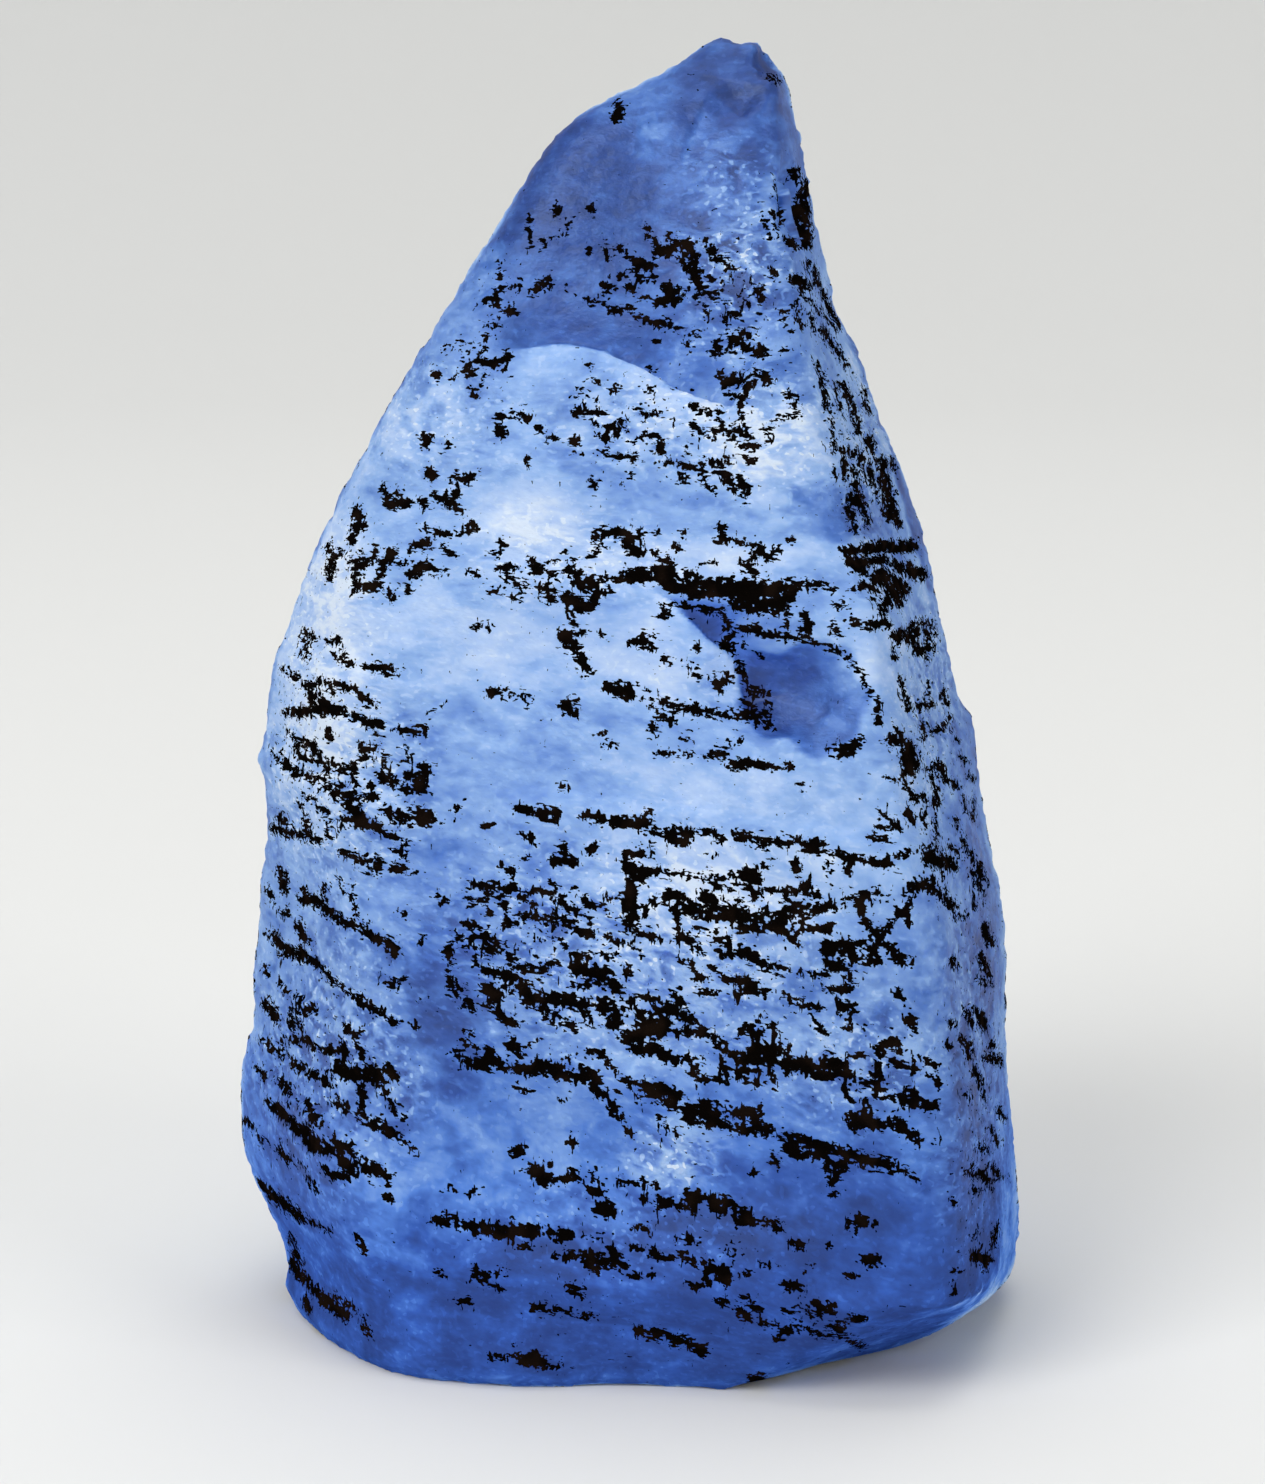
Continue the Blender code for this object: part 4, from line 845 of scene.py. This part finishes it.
photo_x, photo_y = in_photo(points_of(crystal.data))
front = seen_share(crystal.data, *FACING)
depth, bared = breaks(photo_x, photo_y)
keep_values(crystal.data, "growth", place_in_growth(crystal.data))
keep_values(crystal.data, "front", front)
keep_values(crystal.data, "front_colour", seen_share(crystal.data, *COLOUR_FACING))
keep_values(crystal.data, "film_field", film_field(photo_x, photo_y))
sink(crystal.data, depth * front)
print("breaks up to", round((depth * front).max(), 2), "mm deep")

# %% [markdown]
# ## Clouds, painted glow and deep blue
# Sapphire's colour lies in zones, and silk and healed cracks make milky clouds. Seen against
# light, the clouds near the middle look almost white and the clear parts deep blue. Noise could
# make such zones, and does on the back, but not in the places that the photograph shows. The
# front's are read from it as a few soft spots, and so is where the skin is rugged, with small worn
# crests. The front's spots are partly those clouds and partly painted light: a painted glow, pale
# in the middle as if a lamp shone through from behind, and painted shade, deeper blue towards the
# top, the edges and the foot.

# %% Soft spots of colour, painted glow and shade, and rugged skin
# (x, y, half width, half height, paler by, or deeper if negative)
# the pale spots are painted glow as well as clouds; the deep ones at the top, the right edge and low on the
# left are painted shade as well as deeper stone; the wide one along the foot is painted shade
CLOUD_GLOW_AND_SHADE_SPOTS = (
    (528, 520, 44, 36, 0.28), (520, 528, 90, 40, 0.14), (480, 640, 95, 62, 0.30),
    (400, 430, 52, 42, 0.22), (770, 450, 60, 46, 0.40), (690, 560, 115, 26, 0.34),
    (650, 660, 60, 50, 0.30), (690, 885, 150, 50, 0.38), (590, 425, 105, 42, 0.10),
    (330, 560, 45, 70, 0.36), (322, 720, 45, 90, 0.44), (880, 650, 34, 70, 0.24),
    (690, 790, 150, 40, 0.20), (745, 290, 50, 56, -0.14), (728, 145, 44, 60, -0.24),
    (915, 1000, 20, 90, 0.04), (575, 200, 110, 100, -0.40), (600, 320, 105, 24, -0.16),
    (842, 516, 44, 26, -0.04), (706, 626, 28, 26, -0.30), (440, 1050, 60, 130, -0.20),
    (838, 664, 24, 26, 0.26), (620, 1120, 190, 60, -0.04), (670, 1160, 34, 26, 0.22),
    (850, 1210, 170, 110, -0.30), (430, 770, 50, 60, -0.02), (600, 1320, 420, 80, -0.60),
    (985, 1000, 34, 330, -0.30), (790, 110, 34, 90, -0.14), (725, 80, 60, 40, -0.26),
    (560, 905, 74, 56, -0.22), (640, 1250, 200, 60, -0.10), (910, 440, 30, 140, -0.20),
    (290, 1150, 60, 110, -0.34), (680, 268, 40, 36, -0.10), (860, 800, 70, 50, 0.12),
)
# (x, y, half width, half height, how rugged, up to 1)
RUGGED = (
    (735, 262, 56, 70, 1.0), (730, 170, 50, 36, 0.6), (765, 430, 70, 60, 0.8), (868, 450, 32, 110, 0.6),
    (330, 640, 60, 110, 0.5), (345, 780, 75, 100, 0.8), (340, 1060, 90, 130, 0.7),
    (640, 950, 190, 110, 0.8), (850, 1060, 90, 60, 0.7), (670, 1160, 46, 34, 1.0),
    (930, 700, 40, 130, 0.5), (970, 1050, 40, 220, 0.5), (400, 1085, 30, 50, 0.7),
    (660, 420, 120, 50, 0.6), (570, 560, 110, 50, 0.5), (640, 1230, 190, 60, 0.4),
    (440, 420, 70, 60, 0.5), (700, 680, 60, 60, 0.3), (730, 340, 60, 30, 0.5),
)
MIDDLE_BLUE = 0.46  # how pale the stone is between the spots
LEAST_RUGGED = 0.14
SPOT_SOFTNESS = 1.2  # the larger, the further a spot reaches beyond its half widths


def spread(x, y, spots):
    """The soft spots' changes at each place, one row for each spot."""
    rows = []
    for middle_x, middle_y, half_width, half_height, change in spots:
        away = ((x - middle_x) / half_width) ** 2 + ((y - middle_y) / half_height) ** 2
        rows.append(change * np.exp(-away / SPOT_SOFTNESS))
    return np.array(rows)


paleness = MIDDLE_BLUE + spread(photo_x, photo_y, CLOUD_GLOW_AND_SHADE_SPOTS).sum(0) + bared
keep_values(crystal.data, "paleness", np.clip(paleness, 0, 1))
rugged = np.maximum(spread(photo_x, photo_y, RUGGED).max(0), LEAST_RUGGED)
keep_values(crystal.data, "rugged", rugged)
print(len(CLOUD_GLOW_AND_SHADE_SPOTS), "spots of colour and", len(RUGGED), "rugged areas")

# %% [markdown]
# ## Patterns
# Every pattern, in the relief and in the material, is noise at a place in the growth. Images
# wrapped round the crystal would do too, but they show seams, and every face would need its own.
# A pattern's size is given in millimetres, across the layers and along them, so it lies in rows
# where the two differ. The lumps and pits get their size from the relief's inputs, and the table
# only gives their proportions. Two patterns are far finer on a real sapphire and wouldn't show in
# the render, so they are drawn as coarse as they need to be: the striations, which can lie
# hundredths of a millimetre apart, and the crushed grain of worn skin.

# %% The table of patterns
# (size across the layers, size along them, seed, octaves, strength of each finer octave)
PATTERNS = {
    "waver of the steps": (5.0, 5.0, 1, 2.0, 0.5),
    "where steps are": (2.0, 6.0, 2, 2.0, 0.5),
    "striations": (0.6, 4.5, 3, 2.0, 0.5),  # drawn coarser
    "lumps": (1.0, 1.4, 4, 2.0, 0.5),
    "pits": (1.0, 1.0, 5, 2.0, 0.6),
    "crests": (0.75, 1.5, 19, 3.0, 0.55),
    "film dashes": (0.45, 1.9, 11, 2.0, 0.5),
    "film patches": (4.5, 4.5, 12, 0.0, 0.5),
    "lying flecks": (0.22, 0.60, 13, 2.8, 0.62),
    "standing flecks": (0.60, 0.22, 14, 2.8, 0.62),
    "specks": (0.12, 0.20, 21, 1.0, 0.5),
    "brown stain": (0.9, 0.9, 17, 1.0, 0.5),
    "clouds": (5.0, 5.0, 15, 2.0, 0.6),
    "mottle": (1.1, 1.8, 16, 3.0, 0.65),
    "grain": (0.32, 0.5, 18, 3.0, 0.65),  # drawn coarser
    "glints": (0.16, 0.22, 20, 0.0, 0.5),
}
SEED_SHIFT = (17.3, 5.9, 11.1)  # how far apart in the noise two seeds lie
CREST_WANDER = 0.4  # how far the crests stray off the layers
CREST_WIDTH = 0.28


def pattern(tree, place, name, scale=1.0, distortion=0.0):
    """Noise from 0 to 1 at a place in the growth, as the table says."""
    across, along_layers, seed, octaves, roughness = PATTERNS[name]
    sizes = (1 / along_layers, 1 / along_layers, 1 / across)
    shift = [seed * apart for apart in SEED_SHIFT]
    spot = add(tree, "ShaderNodeVectorMath", (place, sizes, shift), operation="MULTIPLY_ADD")
    inputs = {"Vector": spot, "Scale": scale, "Detail": octaves}
    inputs.update({"Roughness": roughness, "Distortion": distortion})
    return add(tree, "ShaderNodeTexNoise", inputs)


def about_zero(tree, value, size):
    """Noise from 0 to 1 turned to the given size up and down."""
    doubled = add(tree, MATH, (value, 2.0, -1.0), operation="MULTIPLY_ADD")
    return add(tree, MATH, (doubled, size), operation="MULTIPLY")


def crests(tree, place):
    """From 0 to 1 along worn crests that wander a little off the layers."""
    rolling = pattern(tree, place, "crests", distortion=CREST_WANDER)
    from_middle = add(tree, MATH, (about_zero(tree, rolling, 1.0),), operation="ABSOLUTE")
    return add(tree, RANGE, (from_middle, 0.0, CREST_WIDTH, 1.0, 0.0), **SMOOTH)


print(len(PATTERNS), "patterns, the finest", min(row[0] for row in PATTERNS.values()), "mm across")

# %% [markdown]
# ## Fine relief
# Up close the skin has growth steps, low terraces that end in a small riser; striations, finer
# lines between them; and worn lumps, crests and pits. Each follows a rule, so one Geometry Nodes
# tree makes them all, by moving every point in or out along its normal. In bump alone they would
# look flat at the outline, and would be lost from the exported mesh.

# %% The relief's tree and its inputs
RELIEF = {
    "Step Spacing": 2.1,
    "Step Depth": 0.07,
    "Striation Depth": 0.035,
    "Lump Size": 2.4,
    "Lump Depth": 0.10,
    "Pit Size": 0.8,
    "Pit Depth": 0.06,
    "Crest Height": 0.20,
    "Rugged Back": 0.45,
}

relief = bpy.data.node_groups.new("growth relief", "GeometryNodeTree")
relief.interface.new_socket("Geometry", in_out="INPUT", socket_type="NodeSocketGeometry")
for name in RELIEF:
    relief.interface.new_socket(name, in_out="INPUT", socket_type="NodeSocketFloat")
relief.interface.new_socket("Finish", in_out="INPUT", socket_type="NodeSocketMaterial")
relief.interface.new_socket("Geometry", in_out="OUTPUT", socket_type="NodeSocketGeometry")
given = add(relief, "NodeGroupInput").outputs
reads = {
    name: add(relief, "GeometryNodeInputNamedAttribute", {"Name": name}, data_type=kind)
    for name, kind in (("growth", "FLOAT_VECTOR"), ("front", "FLOAT"), ("rugged", "FLOAT"))
}
growth_place = reads["growth"]
print("relief:", len(RELIEF), "sizes")

# %% [markdown]
# A growth step is a terrace that rises little by little and then drops. Dividing the layer by the
# steps' spacing counts the steps, and what is left of the count says how far along its step a
# point is. A noise shifts the count, so the edges waver, and another makes the steps come and go.

# %% Growth steps
STEP_WAVER = 2.4  # how far the steps' edges waver, in steps
RISER_FROM = 0.86  # share of a step's spacing after which it drops
STEPS_FROM = (0.42, 0.62)  # steps come in over this range of their noise

layer_here = add(relief, "ShaderNodeSeparateXYZ", (growth_place,)).outputs["Z"]
step_count = add(relief, MATH, (layer_here, given["Step Spacing"]), operation="DIVIDE")
waver = pattern(relief, growth_place, "waver of the steps")
step_count = add(relief, MATH, (waver, STEP_WAVER, step_count), operation="MULTIPLY_ADD")
in_step = add(relief, MATH, (step_count,), operation="FRACT")
tread = add(relief, RANGE, (in_step, 0.0, RISER_FROM))
riser = add(relief, RANGE, (in_step, RISER_FROM, 1.0, 1.0, 0.0), **SMOOTH)
come_and_go = pattern(relief, growth_place, "where steps are")
steps = add(relief, MATH, (tread, riser), operation="MULTIPLY")
for factor in (add(relief, RANGE, (come_and_go, *STEPS_FROM), **SMOOTH), given["Step Depth"]):
    steps = add(relief, MATH, (steps, factor), operation="MULTIPLY")
print("with steps:", len(relief.nodes), "nodes")

# %% Striations, lumps, pits and crests
PITS_FROM = (0.56, 0.74)  # pits come in over this range of their noise

striations = about_zero(relief, pattern(relief, growth_place, "striations"), given["Striation Depth"])
per_lump = add(relief, MATH, (1.0, given["Lump Size"]), operation="DIVIDE")
lumps = about_zero(relief, pattern(relief, growth_place, "lumps", per_lump), given["Lump Depth"])
per_pit = add(relief, MATH, (1.0, given["Pit Size"]), operation="DIVIDE")
pits = add(relief, RANGE, (pattern(relief, growth_place, "pits", per_pit), *PITS_FROM), **SMOOTH)
pits = add(relief, MATH, (pits, given["Pit Depth"]), operation="MULTIPLY")
rugged_mix = {"Factor": reads["front"], 2: given["Rugged Back"], 3: reads["rugged"]}
ruggedness = add(relief, MIX, rugged_mix)
crest = crests(relief, growth_place)
for factor in (given["Crest Height"], ruggedness):
    crest = add(relief, MATH, (crest, factor), operation="MULTIPLY")
print("with lumps and crests:", len(relief.nodes), "nodes")

# %% How far each point moves, and the end of the tree
STILL_FOOT = 0.8  # the relief comes in over this height, so that the foot stays flat

rise = steps
for raised in (striations, lumps, crest):
    rise = add(relief, MATH, (rise, raised), operation="ADD")
rise = add(relief, MATH, (rise, pits), operation="SUBTRACT")
place_here = add(relief, "GeometryNodeInputPosition")
height_here = add(relief, "ShaderNodeSeparateXYZ", (place_here,)).outputs["Z"]
off_the_foot = add(relief, RANGE, (height_here, 0.0, STILL_FOOT * MM), **SMOOTH)
for factor in (MM, off_the_foot):
    rise = add(relief, MATH, (rise, factor), operation="MULTIPLY")
normal = add(relief, "GeometryNodeInputNormal")
shift = add(relief, "ShaderNodeVectorMath", {0: normal, "Scale": rise}, operation="SCALE")
moved = add(relief, "GeometryNodeSetPosition", {"Geometry": given["Geometry"], "Offset": shift})
real = add(relief, "GeometryNodeRealizeInstances", (moved,))
dressed = add(relief, "GeometryNodeSetMaterial", {"Geometry": real, "Material": given["Finish"]})
add(relief, "NodeGroupOutput", (dressed,))
print("relief:", len(relief.nodes), "nodes")

# %% [markdown]
# ## The film in the material
# The material reads the values that the mesh keeps. It adds two noises to the strokes' field, one
# of flecks that lie along the growth lines and one of flecks that stand across them, and takes the
# larger, so a stroke ends in ragged spikes both ways. Where the sum is above 0 there is film. The
# field is capped, so wide strokes keep a few holes, as the film on the crystal does. Specks too
# small to trace come from a finer noise that keeps close to the strokes. The film is a stain with
# no thickness to speak of, so it is colour alone and isn't raised.

# %% The film's mask
RAGGED = 1.65  # how far the noise moves the edge of a fleck
FLECK_MIDDLE = 0.556  # the larger of the two noises, on average
FLECK_EDGE = 0.03  # range of the sum over which film comes in
BACK_FILM = (-0.30, 0.09)  # the film field between the dashes on the back, and within them
DASHES_FROM = (0.76, 1.02)
DASHES_FOLLOW = 0.6  # how closely the dashes on the back keep to large patches
SPECKS_FROM = (0.79, 0.81)
SPECKS_FOLLOW = 0.9  # how closely the specks keep to the strokes

stone = bpy.data.materials.new("rough sapphire, worn")
stone.use_nodes = True
tree = stone.node_tree
tree.nodes.clear()
kept = {
    name: add(tree, "ShaderNodeAttribute", attribute_name=name).outputs["Fac"]
    for name in ("front", "front_colour", "film_field", "paleness", "rugged")
}
grown = add(tree, "ShaderNodeAttribute", attribute_name="growth").outputs["Vector"]

patches = pattern(tree, grown, "film patches")
dashes = (patches, DASHES_FOLLOW, pattern(tree, grown, "film dashes"))
dashes = add(tree, MATH, dashes, operation="MULTIPLY_ADD")
dashes = add(tree, RANGE, (dashes, *DASHES_FROM, *BACK_FILM), **SMOOTH)
likely = add(tree, MIX, {"Factor": kept["front"], 2: dashes, 3: kept["film_field"]})
both_ways = (pattern(tree, grown, "lying flecks"), pattern(tree, grown, "standing flecks"))
flecks = add(tree, MATH, both_ways, operation="MAXIMUM")
flecks = add(tree, MATH, (flecks, FLECK_MIDDLE), operation="SUBTRACT")
flecks = add(tree, MATH, (flecks, RAGGED, likely), operation="MULTIPLY_ADD")
flecks = add(tree, RANGE, (flecks, 0.0, FLECK_EDGE), **SMOOTH)
specks = (likely, SPECKS_FOLLOW, pattern(tree, grown, "specks"))
specks = add(tree, MATH, specks, operation="MULTIPLY_ADD")
specks = add(tree, MATH, (specks, -SPECKS_FOLLOW * NO_FILM), operation="ADD")
specks = add(tree, RANGE, (specks, *SPECKS_FROM), **SMOOTH)
film = add(tree, MATH, (flecks, specks), operation="MAXIMUM")
bare = add(tree, MATH, (1.0, film), operation="SUBTRACT")
print("film:", len(tree.nodes), "nodes")

# %% [markdown]
# ## The colour
# A number from 0 to 1 says how pale the stone is, and a Color Ramp turns it into a blue. It starts
# from the soft spots, with their painted glow and shade, and the breaks, and noise makes it cloudy.
# On rugged skin, worn crests are paler and the dips between them deeper, crushed grain mottles
# the tone, small painted glints are highlights painted into the colour, and the skin is greyer
# too. One number for all of it keeps the blues of one family, which several painted colours would
# not. The film goes on top, brown-black with a rusty stain here and there.

# %% How pale the stone is
CLOUDS_FROM = (0.36, 0.64)
BACK_PALE = (0.20, 0.60)  # paleness on the back, between the clouds and within them
MOTTLE_PALER = 0.36
CREST_PALER = 0.46
CREST_MIDDLE = 0.4  # a crest this high leaves the colour as it is
GRAIN_PALER = 0.42
# painted glints: small highlights painted into the colour of rugged skin
PAINTED_GLINT_PALER = 0.45
PAINTED_GLINTS_FROM = (0.66, 0.72)
DEEP_END = 0.3  # how gently the colour settles into the deepest blue

rugged_mix = {"Factor": kept["front"], 2: RELIEF["Rugged Back"], 3: kept["rugged"]}
rugged_here = add(tree, MIX, rugged_mix)
back_pale = add(tree, RANGE, (pattern(tree, grown, "clouds"), *CLOUDS_FROM, *BACK_PALE), **SMOOTH)
pale = add(tree, MIX, {"Factor": kept["front_colour"], 2: back_pale, 3: kept["paleness"]})
mottle = about_zero(tree, pattern(tree, grown, "mottle"), MOTTLE_PALER)
pale = add(tree, MATH, (pale, mottle), operation="ADD")
on_crest = (crests(tree, grown), CREST_PALER, -CREST_MIDDLE * CREST_PALER)
on_crest = add(tree, MATH, on_crest, operation="MULTIPLY_ADD")
grain = pattern(tree, grown, "grain")
# painted glints, highlights painted into the colour
painted_glint = add(tree, RANGE, (pattern(tree, grown, "glints"), *PAINTED_GLINTS_FROM), **SMOOTH)
painted_glint = add(tree, MATH, (painted_glint, PAINTED_GLINT_PALER), operation="MULTIPLY")
for change in (on_crest, about_zero(tree, grain, GRAIN_PALER), painted_glint):
    pale = add(tree, MATH, (change, rugged_here, pale), operation="MULTIPLY_ADD")
pale = add(tree, MATH, (pale, 0.0, DEEP_END), operation="SMOOTH_MAX")
print("with paleness:", len(tree.nodes), "nodes")

# %% Blues, worn grey and the film's colours
BLUES = (
    (0.0, "#22397a"),
    (0.14, "#3159b2"),
    (0.32, "#5484da"),
    (0.60, "#90b4e8"),
    (0.82, "#b8cff2"),
    (1.0, "#dce8f7"),
)
FILM_BLACK = "#070504"
FILM_BROWN = "#150e0a"
BROWN_FROM = (0.45, 0.7)
WORN_GREY = "#8d9db8"
WORN_GREYER = 0.24  # how much of that grey rugged skin takes on

ramp = add(tree, "ShaderNodeValToRGB", (pale,))
for i, (stop, blue) in enumerate(BLUES):
    has_stop = i < len(ramp.color_ramp.elements)
    element = ramp.color_ramp.elements[i] if has_stop else ramp.color_ramp.elements.new(stop)
    element.position = stop
    element.color = linear(blue)
worn_share = add(tree, MATH, (rugged_here, WORN_GREYER), operation="MULTIPLY")
worn = add(tree, MIX, {"Factor": worn_share, 6: ramp, 7: linear(WORN_GREY)}, data_type="RGBA")
brown = add(tree, RANGE, (pattern(tree, grown, "brown stain"), *BROWN_FROM), **SMOOTH)
film_mix = {"Factor": brown, 6: linear(FILM_BLACK), 7: linear(FILM_BROWN)}
film_colour = add(tree, MIX, film_mix, data_type="RGBA")
colour = add(tree, MIX, {"Factor": film, 6: worn, 7: film_colour}, data_type="RGBA")
print("with colour:", len(tree.nodes), "nodes")

# %% [markdown]
# ## The stone itself
# Corundum bends light strongly, with an index of refraction of 1.77. Rough sapphire is seldom
# clear: fine silk and milky clouds scatter the light, so a lamp behind it makes it glow. Clear
# glass filled with a scattering fog would be nearest to that, but it takes far more samples to
# come out clean. So the material is one Principled shader: part of the light passes through, part
# scatters just under the skin, and a Volume Absorption node turns what passes through deeper blue.
# Milky clouds let less light straight through, and film stops it altogether. Near the foot, where
# the stone stands on its broken face, less light gets through. To the eye, a worn skin is satin at
# most, so the specular level is 0: the little shine there is comes with the share that is
# see-through, and has the stone's tint. The film is matt.

# %% The stone's material
SAPPHIRE_IOR = 1.77
ABSORBED = "#59b1fd"
ABSORPTION = 60.0  # per metre
SPECULAR_LEVEL = 0.0
STONE_REFLECTS = "#bcd4ff"
FILM_REFLECTS = "#453f38"
CLEAR_OVER = (0.1, 0.7)  # from the deepest blue to the palest that lets the least light through
CLEAR_SHARE = (0.6, 0.2)  # the share that passes through there
CLEAR_HEIGHT = (1.0, 16.0)  # light comes through from this height up, and fully from this one
STONE_ROUGH = 0.44
SCATTERED = 0.45
SCATTER_REACH = 2.5  # millimetres, times the share for red, green and blue light below
SCATTER_RADIUS = (0.5, 0.8, 1.4)
BUMP_DEPTH = 0.19  # of the finest grain, which the skin's squares are too wide for
LEAST_BUMP = 0.25

clear = add(tree, RANGE, (pale, *CLEAR_OVER, *CLEAR_SHARE), **SMOOTH)
place = add(tree, "ShaderNodeTexCoord").outputs["Object"]
height = add(tree, "ShaderNodeSeparateXYZ", (place,)).outputs["Z"]
off_ground = add(tree, RANGE, (height, *(mm * MM for mm in CLEAR_HEIGHT)), **SMOOTH)
for factor in (bare, off_ground):
    clear = add(tree, MATH, (clear, factor), operation="MULTIPLY")
reflect_mix = {"Factor": film, 6: linear(STONE_REFLECTS), 7: linear(FILM_REFLECTS)}
bumpy = add(tree, RANGE, (rugged_here, 0.0, 1.0, LEAST_BUMP, 1.0))
surface = {
    "Base Color": colour,
    "Roughness": add(tree, RANGE, (film, 0.0, 1.0, STONE_ROUGH, 1.0)),
    "IOR": SAPPHIRE_IOR,
    "Specular IOR Level": SPECULAR_LEVEL,
    "Specular Tint": add(tree, MIX, reflect_mix, data_type="RGBA"),
    "Transmission Weight": clear,
    "Subsurface Weight": add(tree, MATH, (bare, SCATTERED), operation="MULTIPLY"),
    "Subsurface Radius": SCATTER_RADIUS,
    "Subsurface Scale": SCATTER_REACH * MM,
    "Normal": add(tree, "ShaderNodeBump", {"Strength": bumpy, "Distance": BUMP_DEPTH * MM, "Height": grain}),
}
shader = add(tree, "ShaderNodeBsdfPrincipled", surface, subsurface_method="BURLEY")
absorb = add(tree, "ShaderNodeVolumeAbsorption", {"Color": linear(ABSORBED), "Density": ABSORPTION})
add(tree, "ShaderNodeOutputMaterial", {"Surface": shader, "Volume": absorb})
print("material:", len(tree.nodes), "nodes")

# %% [markdown]
# ## The finished skin
# The relief is still a modifier on the skin. It is turned into a plain mesh here, so that the
# export and the render have the same one, and so that its triangles can be counted.

# %% Run the relief and finish the mesh
shaping = crystal.modifiers.new("growth relief", "NODES")
shaping.node_group = relief
for item in relief.interface.items_tree:
    if item.in_out == "INPUT" and item.name in RELIEF:
        shaping[item.identifier] = RELIEF[item.name]
    if item.in_out == "INPUT" and item.name == "Finish":
        shaping[item.identifier] = stone
crystal.data = evaluated_mesh(crystal)
crystal.modifiers.clear()
crystal.vertex_groups.clear()
crystal.data.shade_smooth()
crystal.data.name = "rough_sapphire"
triangles = sum(len(face.vertices) - 2 for face in crystal.data.polygons)
print("finished skin:", triangles, "triangles")
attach(crystal, "root")
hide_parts("sapphire_crystal")

# %% [markdown]
# ## The studio
# A plain pale floor and soft light, as for a catalogue. The floor is flat under the crystal and
# rises all round in a wide shallow bowl, so it ends in a soft gradient from whichever side the
# crystal is seen. A flat floor would end in a hard line, and a curved backdrop has only one side.
# Matt paper scatters light evenly, so it takes a soft shadow and mirrors nothing.

# %% Floor
FLOOR_GREY = "#d3d3d1"
FLOOR_ROUGH = 0.9
FLAT_RADIUS = 0.32  # metres, as are the next two
BOWL_RADIUS = 2.4
BOWL_DEPTH = 0.7  # the smaller, the steeper the bowl's side
RINGS = 28
AROUND = 96

radii = [FLAT_RADIUS + (BOWL_RADIUS - FLAT_RADIUS) * i / RINGS for i in range(RINGS + 1)]
corners = [(0.0, 0.0, 0.0)]
for radius in radii:
    height = (radius - FLAT_RADIUS) ** 2 / (2 * BOWL_DEPTH)
    for i in range(AROUND):
        turn = 2 * math.pi * i / AROUND
        corners.append((radius * math.cos(turn), radius * math.sin(turn), height))
faces = [(0, 1 + i, 1 + (i + 1) % AROUND) for i in range(AROUND)]
for ring in range(RINGS):
    inner, outer = 1 + ring * AROUND, 1 + (ring + 1) * AROUND
    for i in range(AROUND):
        following = (i + 1) % AROUND
        faces.append((inner + i, outer + i, outer + following, inner + following))
floor_mesh = bpy.data.meshes.new("studio_floor")
floor_mesh.from_pydata(corners, [], faces)
floor_mesh.shade_smooth()
floor = bpy.data.objects.new("studio_floor", floor_mesh)
bpy.context.scene.collection.objects.link(floor)
paper = bpy.data.materials.new("matt paper")
paper.use_nodes = True
paper_inputs = paper.node_tree.nodes["Principled BSDF"].inputs
paper_inputs["Base Color"].default_value = linear(FLOOR_GREY)
paper_inputs["Roughness"].default_value = FLOOR_ROUGH
floor_mesh.materials.append(paper)
print("floor:", len(faces), "faces")

# %% [markdown]
# Sapphire shows its blue best with light behind it, so besides the large soft lamps there is a
# weak one close behind the crystal. It lights the crystal alone, and is neither seen nor mirrored.
# A very soft sun lights the floor alone, which keeps it pale while the crystal stays deep blue.
# Stronger lamps on both would bleach the stone before the floor turned pale.

# %% World and lamps
# (name, place in mm, size in mm, watts)
LAMPS = (
    ("key", (-420, -460, 560), 420, 4.5),
    ("fill", (600, -400, 400), 420, 1.8),
    ("top", (0, 120, 800), 600, 2.0),
    ("glow", (0, 210, 70), 160, 0.35),
)
AIM = Vector((0, 0, 22)) * MM
FLOOR_LIGHT = 0.9
FLOOR_LIGHT_SOFTNESS = math.radians(60)
SKY = "#cfd4da"
SKY_STRENGTH = 0.28


def light_only(lamp, lit):
    """Lets a lamp light one object alone."""
    receivers = bpy.data.collections.new("lit by the " + lamp.name)
    receivers.objects.link(lit)
    lamp.light_linking.receiver_collection = receivers


world = bpy.data.worlds.new("studio")
bpy.context.scene.world = world
world.use_nodes = True
sky_inputs = world.node_tree.nodes["Background"].inputs
sky_inputs["Color"].default_value = linear(SKY)
sky_inputs["Strength"].default_value = SKY_STRENGTH
for name, lamp_place, size, watts in LAMPS:
    lamp_data = bpy.data.lights.new(name, "AREA")
    lamp_data.size = size * MM
    lamp_data.energy = watts
    lamp = bpy.data.objects.new(name, lamp_data)
    lamp.location = Vector(lamp_place) * MM
    lamp.rotation_euler = (AIM - lamp.location).to_track_quat("-Z", "Y").to_euler()
    lamp.visible_camera = False
    lamp.visible_glossy = name != "glow"
    bpy.context.scene.collection.objects.link(lamp)
    if name == "glow":
        light_only(lamp, crystal)
floor_light_data = bpy.data.lights.new("floor light", "SUN")
floor_light_data.energy = FLOOR_LIGHT
floor_light_data.angle = FLOOR_LIGHT_SOFTNESS
floor_light = bpy.data.objects.new("floor light", floor_light_data)
bpy.context.scene.collection.objects.link(floor_light)
light_only(floor_light, floor)
bpy.context.scene.view_settings.view_transform = "Standard"
print(len(LAMPS) + 1, "lamps")
